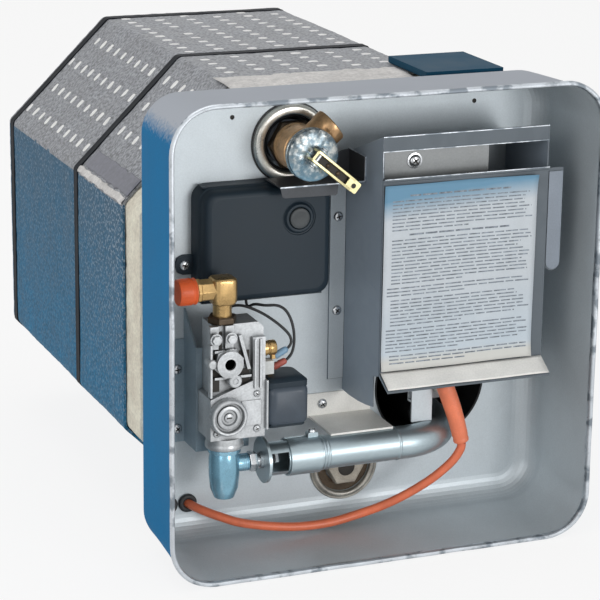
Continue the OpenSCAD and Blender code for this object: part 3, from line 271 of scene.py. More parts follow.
LOOKS = {
    "label": material("paper_with_painted_reflection", (0.58, 0.625, 0.665), 0.62, vary=0.05, scale=30, grain=0.05, bump=0.3,
                      bump_scale=120, bump_mm=0.3, spec=0.25, tint=label_print_and_reflection),
    "ink": material("rule_ink", (0.29, 0.33, 0.375), 0.8, vary=0.45, scale=260, grain=0.3, bump=0, spec=0.1),
    "pan": material("galvanised_pan", (0.55, 0.600, 0.630), 0.48, 0.45, vary=0.06, scale=14, grain=0.08,
                    spangle=0.02, bump=0.06, bump_scale=500, rough_vary=0.012),
    "hem": material("hem_steel", (0.56, 0.60, 0.64), 0.32, 0.8, vary=0.12, scale=60, bump=0.2,
                    bump_scale=300, tint=hem_wear),
    # the pan's outer wall painted blue as a reflection
    "pan_blue_reflection": material("pan_painted_blue_reflection", (0.020, 0.185, 0.400), 0.65, vary=0.08, scale=18, bump_scale=420,
                         spec=0.06, tint=bare_top),
    "foil": material("foil_jacket", (0.37, 0.385, 0.415), 0.48, 0.3, vary=0.14, scale=45, grain=0.62,
                     grain_width=0.16, grain_scale=420, bump=0.8, bump_scale=380, bump_mm=0.4,
                     rough_vary=0.14),
    # painted blue reflection on the jacket's upright and lower sides
    "foil_blue_reflection": material("foil_painted_blue_reflection", (0.030, 0.185, 0.345), 0.55, vary=0.16, scale=45, grain=0.40,
                          grain_scale=420, grain_width=0.16, bump=0.6, bump_scale=380, bump_mm=0.4,
                          spec=0.10, tint=painted_blue_reflection),
    "dash": material("foil_emboss", (0.92, 0.91, 0.90), 0.45, 0.1, vary=0.10, scale=200, bump=0.2),
    "strap": material("black_strap", (0.010, 0.012, 0.016), 0.6, vary=0.2, scale=120, bump=0.25,
                      bump_scale=900, spec=0.12),
    "foam": material("insulation", (0.93, 0.86, 0.72), 0.95, vary=0.12, scale=70, grain=0.18,
                     grain_scale=500, bump=0.9, bump_scale=420, bump_mm=0.8, spec=0.1),
    "fire": material("sooty_steel", (0.020, 0.021, 0.023), 0.7, 0.4, vary=0.4, scale=45, bump=0.4),
    "brass": material("brass", (0.50, 0.33, 0.14), 0.30, 0.85, vary=0.22, scale=75, grain=0.18,
                      grain_scale=700, bump=0.15, wear=0.4),
    "lever": material("plated_lever", (0.80, 0.72, 0.40), 0.30, 0.7, vary=0.20, scale=120, bump=0.15),
    "bright": material("plated_steel", (0.58, 0.60, 0.62), 0.25, 0.9, scale=110, bump=0.12),
    "black": material("moulded_cover", (0.014, 0.026, 0.038), 0.50, vary=0.10, scale=25, grain=0.12,
                      grain_scale=1400, bump=0.30, bump_scale=1500, bump_mm=0.08, spec=0.3),
    "coil": material("coil_plastic", (0.045, 0.062, 0.084), 0.42, scale=60, bump=0.2, bump_scale=900),
    "flue": material("flue_steel", (0.21, 0.245, 0.275), 0.52, 0.35, vary=0.10, scale=16, spangle=0.10,
                     spangle_scale=120, rough_vary=0.04, tint=flue_painted_light_and_shade),
    "baffle": material("baffle_steel", (0.25, 0.262, 0.265), 0.42, 0.4, vary=0.12, scale=25, bump=0.12),
    "cream": material("cream_lip", (0.88, 0.87, 0.83), 0.5, 0.1, vary=0.08, scale=40),
    "burner": material("aluminised_tube", (0.41, 0.49, 0.525), 0.38, 0.85, vary=0.10, scale=30, grain=0.08,
                       bump_scale=260, stretch=(0.3, 1, 1)),
    "ceramic": material("ceramic", (0.72, 0.70, 0.64), 0.25, vary=0.06, scale=80, bump=0.05, coat=0.5),
    "boot": material("orange_boot", (0.86, 0.225, 0.110), 0.42, vary=0.14, scale=45, grain=0.08, bump=0.2,
                     bump_scale=500),
    "lead": material("orange_lead", (0.72, 0.165, 0.072), 0.40, vary=0.14, scale=60, grain=0.08, bump=0.15,
                     bump_scale=800),
    "rubber": material("black_rubber", (0.016, 0.017, 0.019), 0.55, vary=0.2, scale=100, bump=0.25),
    # the casting's crevices are darkened with painted shade
    "cast": material("die_casting", (0.50, 0.52, 0.535), 0.40, 0.7, vary=0.16, scale=70, grain=0.20,
                     grain_scale=650, bump=0.45, bump_scale=800, bump_mm=0.15, wear=0.5,
                     wear_color=(0.7, 0.72, 0.74), painted_crevice_shade=0.8),
    "cap": material("orange_cap", (0.78, 0.115, 0.020), 0.42, vary=0.10, scale=70, bump=0.12),
    "tee": material("anodised_tee", (0.26, 0.50, 0.64), 0.24, 0.75, vary=0.16, scale=60, grain=0.12,
                    bump=0.15, wear=0.4, wear_color=(0.55, 0.65, 0.7)),
    "box_blue": material("painted_box", (0.006, 0.058, 0.108), 0.55, vary=0.10, scale=25, bump=0.2,
                         bump_scale=600, spec=0.10),
    "sleeve": material("blue_sleeve", (0.22, 0.37, 0.52), 0.45, vary=0.1, scale=100),
    "dark": material("bracket_steel", (0.27, 0.345, 0.40), 0.45, 0.4, vary=0.16, scale=30, grain=0.12,
                     bump=0.15),
    "olive": material("drain_brass", (0.36, 0.33, 0.28), 0.45, 0.5, vary=0.30, scale=80, grain=0.2, bump=0.3),
    "tank": material("tank_steel", (0.20, 0.23, 0.27), 0.45, 0.4, scale=25, bump=0.15),
    "mottled": material("hammered_plate", (0.23, 0.275, 0.295), 0.30, 0.6, vary=0.42, scale=170, grain=0.35,
                        grain_scale=420, bump=0.5, bump_scale=330, bump_mm=0.4, tint=blotches),
    "ring": material("rolled_ring", (0.74, 0.72, 0.66), 0.30, 0.7, vary=0.25, scale=60, grain=0.15,
                     bump=0.2, tint=blue_reflection_below),
    "copper": material("red_brass", (0.60, 0.36, 0.18), 0.32, 0.75, vary=0.30, scale=70, grain=0.25,
                       grain_scale=500, bump=0.25, bump_scale=500, wear=0.4, wear_color=(0.75, 0.52, 0.30)),
    # dark colour inside holes, slots, recesses and gaps: painted shade
    "slot": material("recess_painted_shade", (0.028, 0.024, 0.020), 0.6, 0.2, vary=0.3, scale=160, bump=0.2),
    "shadow": material("shaded_tray", (0.055, 0.060, 0.068), 0.5, 0.3, vary=0.2, scale=40, bump=0.15),
    "button": material("button_plastic", (0.050, 0.058, 0.062), 0.55, scale=90, grain=0.15, bump=0.3,
                       bump_scale=1200),
    "drain_ring": material("drain_rim", (0.36, 0.345, 0.31), 0.38, 0.6, vary=0.35, scale=70, grain=0.25,
                           bump=0.3),
    "tape": material("foil_tape", (0.20, 0.205, 0.24), 0.5, 0.2, vary=0.14, scale=60, grain=0.2,
                     grain_scale=300, bump=0.3, bump_scale=180, bump_mm=0.3),
    # dark bronze, also darkened on the relief valve's hexagon as painted shade
    "bronze_and_shade": material("shade_darkened_bronze", (0.085, 0.060, 0.038), 0.42, 0.6, vary=0.35, scale=80, grain=0.25,
                       bump=0.3),
    "white": material("white_plastic", (0.66, 0.68, 0.67), 0.5, vary=0.06, scale=90, bump=0.15),
    # whitish: partly the tape's own edge, partly a painted highlight along the jacket's edge
    "edge_tape": material("pale_tape_highlight", (0.74, 0.72, 0.70), 0.55, 0.1, vary=0.16, scale=90, grain=0.25,
                          grain_scale=420, bump=0.5, bump_scale=300, bump_mm=0.3),
    "red": material("red_sleeve", (0.42, 0.10, 0.075), 0.45, vary=0.1, scale=100),
}

# The solids that keep their own shape
CAD_LOOKS = {
    "foam": ["tank_insulation"],
    "tank": ["tank_shell", "relief_spud", "drain_spud", "anode_rod"],
    "fire": ["flue_tube", "burner_head"],
    "box_blue": ["junction_box", "junction_lid"],
    "bright": ["relief_stem", "relief_spring", "solenoid_plunger"],
    "black": ["limit_switch"],
    "flue": ["flue_box", "flue_front_plate"],
    "baffle": ["flue_baffle"],
    "burner": ["burner_tube"],
    "cream": ["burner_bracket"],
    "pan": ["electrode_bracket"],
    "ceramic": ["electrode"],
    "cast": ["gas_valve_body"],
    "dark": ["valve_bracket"],
}
for look, names in CAD_LOOKS.items():
    for name in names:
        nodes[name].data.materials.clear()
        nodes[name].data.materials.append(LOOKS[look])


# Mesh helpers
AXES = {  # direction of each axis, and where a turned shape's first point lies
    "x": (Vector((1, 0, 0)), Vector((0, 1, 0))),
    "y": (Vector((0, 1, 0)), Vector((1, 0, 0))),
    "z": (Vector((0, 0, 1)), Vector((1, 0, 0))),
}


def spline(points, steps):
    """A Catmull-Rom line through the points."""
    p = [Vector(q) for q in points]
    p = [2 * p[0] - p[1], *p, 2 * p[-1] - p[-2]]
    line = []
    for i in range(1, len(p) - 2):
        a, b, c, d = p[i - 1:i + 3]
        for k in range(steps):
            u = k / steps
            line.append(0.5 * (2 * b + (c - a) * u + (2 * a - 5 * b + 4 * c - d) * u * u
                               + (3 * b - a - 3 * c + d) * u ** 3))
    line.append(p[-2])
    return line


def round_edges(o, width, angle, harden):
    b = o.modifiers.new("bevel", "BEVEL")
    b.width = width / 1000
    b.segments = 2
    b.limit_method = "ANGLE"
    b.angle_limit = math.radians(angle)
    b.harden_normals = harden


def around(u, w, n, turn=0.0):
    """n directions round a circle, from u towards w."""
    angles = [2 * math.pi * k / n + turn for k in range(n)]
    return [u * math.cos(a) + w * math.sin(a) for a in angles]


def circle(x, z, r, n, y):
    return [(x + r * d.x, y, z + r * d.z) for d in around(Vector((1, 0, 0)), Vector((0, 0, 1)), n)]


class Piece:
    """Collects shapes in millimetres and makes one object of them."""

    def __init__(self):
        self.v = []
        self.f = []
        self.m = []

    def add(self, verts, faces, mat=0):
        n = len(self.v)
        self.v += [tuple(v) for v in verts]
        self.f += [[n + i for i in f] for f in faces]
        self.m += [mat] * len(faces)

    def rings(self, rings, closed=True, caps=True, mat=0):
        """Skins a row of rings that have the same number of points."""
        n = len(rings[0])
        faces = []
        for i in range(len(rings) - 1):
            for k in range(n if closed else n - 1):
                a = i * n + k
                b = i * n + (k + 1) % n
                faces.append([a, b, b + n, a + n])
        if caps:
            faces.append(list(range(n))[::-1])
            faces.append([(len(rings) - 1) * n + k for k in range(n)])
        self.add([p for r in rings for p in r], faces, mat)

    def sheet(self, nx, ny, place):
        """A grid of nx by ny faces, with a point at place(i, j) for each corner."""
        verts = [place(i, j) for j in range(ny + 1) for i in range(nx + 1)]
        starts = [j * (nx + 1) + i for j in range(ny) for i in range(nx)]
        self.add(verts, [[a, a + 1, a + nx + 2, a + nx + 1] for a in starts])

    def box(self, x, y, z, mat=0):
        faces = [[0, 1, 3, 2], [4, 6, 7, 5], [0, 4, 5, 1], [2, 3, 7, 6], [0, 2, 6, 4], [1, 5, 7, 3]]
        self.add([(a, b, c) for a in x for b in y for c in z], faces, mat)

    def stack(self, axis, rows, mat=0, caps=True):
        """Skins outlines that lie across an axis, each with its level along it."""
        i = "xyz".index(axis)
        self.rings([[(*q[:i], t, *q[i:]) for q in outline] for outline, t in rows], caps=caps, mat=mat)

    def prism(self, outline, axis, levels, mat=0, caps=True):
        self.stack(axis, [(outline, t) for t in levels], mat, caps)

    def lathe(self, profile, at, axis="y", seg=48, mat=0, ring=False, caps=True, turn=0.0):
        """Turns (radius, along) pairs about an axis through at. ring closes the profile on itself. Six
        segments make a hexagon."""
        d, u = AXES[axis] if isinstance(axis, str) else (axis, axis.orthogonal().normalized())
        ways = around(u, d.cross(u), seg, turn)
        rows = profile + ([profile[0]] if ring else [])
        rings = [[Vector(at) + d * t + max(r, 1e-4) * way for way in ways] for r, t in rows]
        self.rings(rings, caps=caps and not ring, mat=mat)

    def tube(self, line, radii, seg):
        rings = []
        u = None
        for i, p in enumerate(line):
            d = (line[min(i + 1, len(line) - 1)] - line[max(i - 1, 0)]).normalized()
            u = (d.orthogonal() if u is None else u - d * u.dot(d)).normalized()
            rings.append([p + radii[i] * way for way in around(u, d.cross(u), seg)])
        self.rings(rings)

    def fill(self, loops):
        """Flat face across XZ inside the first loop, with the other loops as holes."""
        bm = bmesh.new()
        edges = []
        for loop in loops:
            vs = [bm.verts.new(q) for q in loop]
            edges += [bm.edges.new((a, b)) for a, b in zip(vs, vs[1:] + vs[:1])]
        bmesh.ops.triangle_fill(bm, use_beauty=True, use_dissolve=False, edges=edges, normal=(0, -1, 0))
        bm.verts.index_update()
        self.add([v.co.copy() for v in bm.verts], [[v.index for v in f.verts] for f in bm.faces])
        bm.free()

    def done(self, name, looks, replaces=None, body="heater", bevel=0.0, sharp=35, move=None,
             thick=0.0, flat=False):
        """Makes the object. move maps each point, thick is a sheet's thickness, flat leaves the faces as
        they are."""
        mesh = bpy.data.meshes.new(name)
        points = [Vector(p) for p in self.v]
        if move:
            points = [move(p) for p in points]
        mesh.from_pydata([metres(*p) for p in points], [], self.f)
        for look in [looks] if isinstance(looks, str) else looks:
            mesh.materials.append(LOOKS[look])
        mesh.polygons.foreach_set("material_index", self.m)
        if not flat:
            bm = bmesh.new()
            bm.from_mesh(mesh)
            bmesh.ops.recalc_face_normals(bm, faces=bm.faces)
            bm.to_mesh(mesh)
            bm.free()
            mesh.shade_smooth()
            mesh.set_sharp_from_angle(angle=math.radians(sharp))
        o = bpy.data.objects.new(name, mesh)
        scene.collection.objects.link(o)
        if bevel:
            round_edges(o, bevel, sharp, True)
        if thick:
            s = o.modifiers.new("thick", "SOLIDIFY")
            s.thickness = thick / 1000
            s.offset = 0
        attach(o, body)
        if replaces:
            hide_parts(replaces)
        return o


def rounded(w, h, r, seg, cx, cz):
    """Outline of a rounded rectangle with half sizes w and h, about a middle."""
    pts = []
    for sx, sz, start in ((1, 1, 0), (-1, 1, 90), (-1, -1, 180), (1, -1, 270)):
        for k in range(seg + 1):
            a = math.radians(start + 90 * k / seg)
            pts.append((cx + sx * (w - r) + r * math.cos(a), cz + sz * (h - r) + r * math.sin(a)))
    return pts


# Cords. The routes repeat part.scad: steps from the boot, the first grommet, the gas valve's upper right
# edge and the cover's lower edge.
BOOT_END = (76, 41, -96)
GROMMET_X = -119
LEAD_LOW = -150
LEAD_DROP = ((0, 0, 0), (1, 0, 0.093), (6, 1, 0.241), (15, 2, 0.389), (26, 4, 0.537), (42, 7, 0.704),
             (58, 10, 0.833), (74, 13, 0.926))
LEAD_RISE = ((99, 31, 0), (75, 31, 0), (52, 30, 3), (31, 26, 7), (18, 20, 11), (9, 14, 14), (3, 7, 16),
             (0, 0, 17))
VALVE_EDGE = Vector((-80, 45, 12.5))
COVER_EDGE = Vector((-80, WALL, 20.36))
WIRE_A_FRONT = ((19, -2, -31.5), (23, -2, -27.5), (25, -2, -18.5), (24, -1, -6.5), (20, 2, 3.5),
                (14, 6, 6.5), (8, 10, 5.5))
WIRE_A_BACK = ((3, -24, -2.5), (1, -18, -5.5), (0, -15, -6), (0, -13, -1))
WIRE_B_FRONT = ((19, -4, -22.5), (22, -4, -19.5), (22, -3, -14.5), (17, -2, -8.5), (9, 1, -1.5), (1, 6, 3.5),
                (-7, 12, 6.5), (-12, 16.6, 6))
WIRE_B_BACK = ((-15, -23.8, -3), (-16, -18, -4), (-16, -15, -4), (-16, -14, -1))


def cord(name, route, radius, look, node_name, ease=0):
    """ease is how often the curve is averaged, to open its tightest bends."""
    path = spline(route, 8)
    for _ in range(ease):
        path[1:-1] = [(a + 2 * b + c) / 4 for a, b, c in zip(path, path[1:], path[2:])]
    p = Piece()
    p.tube(path, [radius] * len(path), 14)
    o = p.done(name, look, node_name)
    points = [metres(*q) for q in path]
    length = sum((a - b).length for a, b in zip(points, points[1:]))
    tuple(points[0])


def cords():
    x, y, z = BOOT_END
    lead = [(x - left, y + back, z - share * (z - LEAD_LOW)) for left, back, share in LEAD_DROP]
    lead += [(GROMMET_X + right, WALL - front, LEAD_LOW + up) for right, front, up in LEAD_RISE]
    cord("ignition_lead_skin", lead, 3.2, "lead", "ignition_lead")
    for name, front, back, ease in (("valve_wire_a", WIRE_A_FRONT, WIRE_A_BACK, 12),
                                    ("valve_wire_b", WIRE_B_FRONT, WIRE_B_BACK, 34)):
        route = [VALVE_EDGE + Vector(q) for q in front] + [COVER_EDGE + Vector(q) for q in back]
        cord(name, route, 1.0, "rubber", "valve_wires", ease)


# Control pan
# BLUE marks the pan's outer wall, which is painted blue as a reflection
BARE, HEM, BLUE, CUP = range(4)
PAN_MIDDLE = 5.5
# Ports: their place, their radius in the pan and their radius in the insulation behind it
PORTS = ((70, -63.5, 44, 44.6), (70, 48.5, 44, 44.6), (*RELIEF, 21.5, 21.6), (*DRAIN, 20.8, 21.0))
SMALL_HOLES = ((-86, 146, 1.7), (99, 146, 1.7), (13.5, -38.5, 1.5))
GROMMET_Z = -133
SPARE_HOLE = (-133.5, GROMMET_Z, 4)


def pan_ring(d, y):
    """Rounded rectangle d outside the pan's inner rim, at depth y, with points along the straights."""
    corner = 12
    straight = 14
    arcs = rounded(157.5 + d, 165.5 + d, 29.5 + d, corner, 0, PAN_MIDDLE)
    pts = []
    for i, (x, z) in enumerate(arcs):
        pts.append((x, y, z))
        if i % (corner + 1) == corner:
            x2, z2 = arcs[(i + 1) % len(arcs)]
            a = Vector((x, y, z))
            pts += [tuple(a.lerp(Vector((x2, y, z2)), k / straight)) for k in range(1, straight)]
    return pts


def dent(v):
    """The hand-set hem and the pressed sheet are a little uneven."""
    if v.y < 5:
        k = noise.noise(Vector((v.x, v.y * 0.5, v.z)) / 17) * 0.35
        inward = Vector((v.x, 0, v.z - PAN_MIDDLE)).normalized() * (k - 0.35)
        return v + inward + Vector((0, abs(k) * 0.6, 0))
    if v.y > 70:
        return v
    k = noise.noise(v / 55) * 0.5 - 0.3
    return v + Vector((v.x / 160, 0, (v.z - PAN_MIDDLE) / 168)) * k


def control_pan():
    """One skin from the outside of the back wall round the hem to its inside, then the wall's holes."""
    lean = 4 / WALL
    rows = []
    for k in range(7):
        a = math.radians(15 * k)
        rows.append((-16 + 13.5 * math.sin(a), 74 + 13.5 * math.cos(a), BLUE))
    rows += [(1.4 - lean * y, y, BLUE) for y in (60, 45, 30, 15, 6)]
    rows += [(d, y, BLUE) for d, y in ((1.5, 4.2), (1.9, 3.7), (2.7, 3.4), (3.25, 2.9), (3.5, 2.1))]
    rows += [(d, y, HEM) for d, y in ((3.4, 1.2), (2.9, 0.4), (2.1, 0.05), (1.2, 0.1), (0.5, 0.5),
                                      (0.1, 1.3), (-0.15, 2.4), (-0.2, 4.0))]
    rows += [(-lean * y - 0.1, y, BARE) for y in (8, 18, 30, 42, 55, 66)]
    for k in range(9):
        a = math.radians(90 * k / 8)
        rows.append((-18.4 + 15 * math.cos(a), 71 + 15 * math.sin(a), BARE))
    rings = [pan_ring(d, y) for d, y, _ in rows]
    p = Piece()
    for i in range(1, len(rings)):
        p.rings(rings[i - 1:i + 1], caps=False, mat=rows[i][2])
    ports = [circle(x, z, r, 48, WALL) for x, z, r, _ in PORTS]
    p.fill([rings[-1], *ports, *(circle(*hole, 16, WALL) for hole in (*SMALL_HOLES, SPARE_HOLE))])
    # folded-in edges of the ports, and cups in the small holes, dark with painted shade
    for x, z, r, _ in PORTS:
        p.lathe([(r, WALL), (r - 0.3, WALL + 0.4), (r - 0.4, WALL + 2)], (x, 0, z), caps=False)
    for x, z, r in SMALL_HOLES:
        cup = [(r, WALL), (r - 0.1, WALL + 0.5), (r - 0.1, WALL + 1.2), (0, WALL + 1.2)]
        p.lathe(cup, (x, 0, z), "y", 16, CUP, caps=False)
    o = p.done("control_pan_skin", ["pan", "hem", "pan_blue_reflection", "slot"], "control_pan",
               move=dent, sharp=50)
    o.modifiers.new("even_shading", "WEIGHTED_NORMAL").keep_sharp = True


# Jacket, rear cap, straps and collar
def octagon(inset=0.0, round_r=7.0, step=3.2):
    """Points round the jacket's outline, corners rounded, about a step apart."""
    w = JACKET_W - inset
    h = JACKET_H - inset
    c = 80 - inset * 0.586
    corners = [(w, h - c), (w - c, h), (c - w, h), (-w, h - c), (-w, c - h), (c - w, -h), (w - c, -h),
               (w, c - h)]
    cut = round_r * math.tan(math.radians(22.5))
    pts = []
    for i in range(8):
        a, b, d = (Vector(corners[k % 8]) for k in (i - 1, i, i + 1))
        start = b + (a - b).normalized() * cut
        end = b + (d - b).normalized() * cut
        for k in range(4):
            u = k / 3
            pts.append((1 - u) ** 2 * start + 2 * u * (1 - u) * b + u * u * end)
        following = d + (b - d).normalized() * cut
        m = max(int((following - end).length / step), 1)
        pts += [end.lerp(following, k / m) for k in range(1, m)]
    return pts


def crinkle(v):
    """How far the foil stands off the outline at a point, below zero where it lies inside."""
    broad = noise.noise(v / 48) * 0.55
    folds = abs(noise.noise(v / 11)) * 0.55
    fine = noise.noise(v / 4.1) * 0.16
    return min(0.0, broad - folds + fine - 0.45)


def blue_reflection_face(v):
    """1 on the upright and lower sides, which are painted blue as a reflection, and 0 on the upper ones,
    which show the bare foil.
    """
    edge = 82.0 + 1.6 * noise.noise(Vector((0, v[1] / 9, 3)))
    return 1 if v[2] < edge else 0


def jacket_foil():
    line = octagon()
    outward = []
    for i, q in enumerate(line):
        t = line[(i + 1) % len(line)] - line[i - 1]
        m = Vector((t.y, -t.x)).normalized()
        outward.append(m if m.dot(q) > 0 else -m)
    rings = []
    for k in range(97):
        y = JACKET_FRONT + (JACKET_REAR - JACKET_FRONT) * k / 96
        pressed = 0.35 if any(abs(y - strap) < 7 for strap in STRAPS.values()) else 0
        if y < JACKET_FRONT + 2:
            pressed += 0.6
        ring = []
        for q, m in zip(line, outward):
            d = crinkle(Vector((q.x, y, q.y))) - pressed
            ring.append((q.x + m.x * d, y, q.y + m.y * d))
        rings.append(ring)
    p = Piece()
    p.rings(rings, caps=False)
    turned_in = ((0.982, 4), (0.985, 0.3), (0.9965, 0))
    p.rings([[(q.x * k, JACKET_FRONT + d, q.y * k) for q in line] for k, d in turned_in], caps=False)
    p.m = [blue_reflection_face(p.v[f[0]]) for f in p.f]
    p.done("jacket_foil", ["foil", "foil_blue_reflection"], "jacket_shell", sharp=60)


def rear_cap():
    """Foil folded over the end."""
    inset = 0.3
    base = octagon(inset)
    rings = []
    for y, d in ((415, 0.3), (419, 1.2), (424, 3.6), (430, 7), (437, 11.2), (443, 15), (447, 17.6),
                 (449, 19.8)):
        sx = (JACKET_W - d) / (JACKET_W - inset)
        sz = (JACKET_H - d) / (JACKET_H - inset)
        rings.append([(q.x * sx, y, q.y * sz) for q in base])
    edge = rings[-1]
    for k in (0.93, 0.84, 0.72, 0.6, 0.47, 0.34, 0.2, 0.08):
        rings.append([(x * k, 449.2, z * k) for x, _, z in edge])

    def fold(v):
        k = crinkle(v)
        if v.y > 448:
            return v + Vector((0, k * 1.1, 0))
        return v + Vector((v.x, 0, v.z)).normalized() * k

    p = Piece()
    p.rings(rings)
    p.m = [blue_reflection_face(p.v[f[0]]) if p.v[f[0]][1] < 449 else 0 for f in p.f]
    p.done("rear_cap_foil", ["foil", "foil_blue_reflection"], "rear_cap", move=fold, sharp=60)


def straps():
    """Webbing bands with raised edges."""
    line = octagon(0.25, round_r=5, step=9)
    rows = ((-4.5, 0.993), (-4.5, 1.0), (-3.7, 1.0012), (-2.6, 1.0006), (2.6, 1.0006), (3.7, 1.0012),
            (4.5, 1.0), (4.5, 0.993))
    for end, y in STRAPS.items():
        p = Piece()
        p.rings([[(q.x * k, y + d, q.y * k) for q in line] for d, k in rows], caps=False)
        p.done(f"strap_{end}_band", "strap", f"strap_{end}", sharp=40)


def dashes():
    """Rows of embossed dashes on the top and the upper slopes."""
    s = DIAGONAL
    slope = (-39, -14, 11, 36)
    facets = (((0, 0, JACKET_H), (1, 0, 0), (0, 0, 1), (-62, -37, -12, 12, 37, 62)),
              ((-116, 0, 123.5), (s, 0, s), (-s, 0, s), slope),
              ((116, 0, 123.5), (-s, 0, s), (s, 0, s), slope))
    sections = ((-1, 1.6, 0.02), (-0.8, 3.0, 0.3), (0, 3.5, 0.5), (0.8, 3.0, 0.3), (1, 1.6, 0.02))
    p = Piece()
    for middle, along, out, rows in facets:
        along = Vector(along)
        out = Vector(out)
        cx = middle[0]
        for row, off in enumerate(rows):
            for k in range(17):
                y = 123 + 17.2 * k + (row % 2) * 5
                strapped = abs(y - STRAPS["front"]) < 8 or y > STRAPS["rear"] - 7
                worn = noise.noise(Vector((row * 3.1 + cx, k * 0.37, 0))) < -0.6
                taped = y < 222 and cx < 0 and off < -20
                bare = y < 148 and cx == 0
                if strapped or worn or taped or bare:
                    continue
                half = 3.9 + noise.noise(Vector((row, k * 1.7, cx))) * 0.9
                c = Vector(middle) + along * off + Vector((0, y, 0))
                c += out * crinkle(c)
                rings = []
                for t, w, h in sections:
                    arch = ((-1, -0.4), (-0.6, h * 0.6), (0, h), (0.6, h * 0.6), (1, -0.4))
                    b = c + along * half * t
                    rings.append([b + out * up + Vector((0, w * side, 0)) for side, up in arch])
                p.rings(rings, closed=False, caps=False)
    p.done("jacket_dashes", "dash", sharp=80)


def collar():
    """Bare insulation between pan and jacket, with an uneven edge and holes behind the pan's ports."""
    line = octagon(2.6, round_r=9, step=4)
    edge = 88.4
    face = 87.7

    def rough(v):
        if max(abs(v.x), abs(v.z)) < 140 and abs(v.x) + abs(v.z) < 215:
            return v
        c = Vector((v.x, 0, v.z)).normalized()
        return v + c * (noise.noise(v / 7) * 0.7 + noise.noise(v / 2.6) * 0.4 - 0.6)

    p = Piece()
    p.prism(line, "y", (edge, 90, 93, 97, 101, 105, 109, 113, 117, 120), caps=False)
    rim = [q * 0.985 for q in line]
    p.stack("y", ((line, edge), (rim, face)), caps=False)
    for x, z, _, r in PORTS:
        p.lathe([(r, face), (r, 104), (r, 119)], (x, 0, z), caps=False)
    p.fill([[(q.x, face, q.y) for q in rim], *(circle(x, z, r, 48, face) for x, z, _, r in PORTS)])
    p.done("collar_foam", "foam", "front_insulation", move=rough, sharp=80)

    # on the top the foil has drawn back and leaves the insulation bare
    nx = 60
    ny = 16

    def place(i, j):
        x = -80 + 140 * i / nx
        back = 141 + 6 * noise.noise(Vector((x / 17, 2, 0))) + 3 * noise.noise(Vector((x / 5, 7, 0)))
        y = 96 + (back - 96) * j / ny
        lip = min(1.0, (1 - j / ny) * 5, i / 2, (nx - i) / 2) if j else -1.2
        step = 1.6 * max(0.0, (119 - y) / 23)
        return (x, y, 162.9 - step + lip * (1.0 + 0.5 * noise.noise(Vector((x / 6, y / 6, 4)))))

    p = Piece()
    p.sheet(nx, ny, place)
    p.done("collar_bare_top", "edge_tape", sharp=80, thick=0.4)


# Instruction sheet
def on_plate(x, z, y):
    """A point of the sheet: waves, a raised top edge, a curl at the foot and a raised right side."""
    wave = 0.5 + 0.45 * math.sin(x / 21 + z / 37) + 0.3 * noise.noise(Vector((x / 26, 0, z / 26)))
    top = max(0.0, (z - 88) / 17.5) ** 2 * (1.0 + 0.9 * math.sin(x / 15))
    foot = max(0.0, (-14 - z) / 13.5) ** 2 * 1.6
    side = max(0.0, (x - 104.4) / 13) ** 2 * 0.9
    return (x, y - (max(0.05, wave) + top + foot + side), z)


def label_sheet():
    left = 0.9
    foot = -27.5
    width = 116.5
    height = 133
    plate = 20.62
    nx = 28
    nz = 34
    p = Piece()
    p.sheet(nx, nz, lambda i, j: on_plate(left + width * i / nx, foot + height * j / nz, plate))
    p.done("label_paper", "label", "label_sheet", sharp=80, thick=0.18)

    # plain ruled bars in groups, with no lettering
    p = Piece()
    ink = plate - 0.2
    z = 97.5
    for group, rows in enumerate((1, 9, 1, 13, 3, 8, 7, 3)):
        title = rows == 1
        h = 0.62 if title else 0.45
        for r in range(rows):
            x = 20 if title else (4 if group in (4, 6) else 7)
            end = 97 if title else 114.5 - 24 * abs(noise.noise(Vector((group * 2.3, r * 0.9, 1))))
            if r == rows - 1 and not title:
                end = x + (end - x) * 0.55
            while x < end:
                x2 = min(x + 6 + 16 * abs(noise.noise(Vector((x * 0.31, z * 0.7, group)))), end)
                corners = ((x, z - h), (x2, z - h), (x2, z + h), (x, z + h))
                p.add([on_plate(*q, ink) for q in corners], [[0, 1, 2, 3]])
                x = x2 + 1.3
            z -= 2.55
        z -= 1.1
    p.done("label_bars", "ink", flat=True)


# Turned, cast and moulded pieces
def screw_head(p, x, y, z, turn, r=3.6, h=2.3):
    """Pan-head screw facing -Y with a cross recess dark with painted shade, turned by some degrees."""
    c = Vector((x, y, z))
    p.lathe([(r, 0.4), (r, -0.5), (r * 0.95, -h * 0.55), (r * 0.78, -h * 0.82), (r * 0.5, -h * 0.96),
             (0.01, -h)], c, "y", 28)
    for a in (math.radians(turn), math.radians(turn + 90)):
        u = Vector((math.cos(a), 0, math.sin(a))) * r * 0.55
        w = Vector((-math.sin(a), 0, math.cos(a))) * r * 0.13
        deep = [Vector((0, t, 0)) for t in (-h - 0.05, -h * 0.6)]
        p.rings([[c + q + t for q in (u + w, u - w, -u - w, w - u)] for t in deep], mat=1)


def thread(p, at, axis, r, lo, hi, pitch=1.9, depth=0.7, mat=0, inside=False):
    """Thread ridges between two places along an axis."""
    root = r + depth if inside else r - depth
    core = root + (0.6 if inside else -0.6)
    rows = []
    t = lo
    while t < hi - 1e-6:
        rows += [(root, t), (r, t + pitch * 0.35), (r, t + pitch * 0.6)]
        t += pitch
    p.lathe([*rows, (root, hi), (core, hi), (core, lo)], at, axis, 40, mat, ring=True)


def ribs(p, at, axis, r, count, height, lo, hi):
    """Grip ribs round a turned piece."""
    d, first = AXES[axis]
    for k in range(count):
        u = Matrix.Rotation(2 * math.pi * k / count, 3, d) @ first
        w = d.cross(u) * 0.55
        a = Vector(at) + u * r
        b = a + u * height
        p.rings([[q + d * t for q in (a + w, a - w, b - w, b + w)] for t in (lo, hi)])


def along_lever(v):
    """From axes with X along the lever to the relief valve's place."""
    c = math.cos(LEVER_TURN)
    s = math.sin(LEVER_TURN)
    return Vector((RELIEF[0] + c * v.x + s * v.z, v.y, RELIEF[1] - s * v.x + c * v.z))


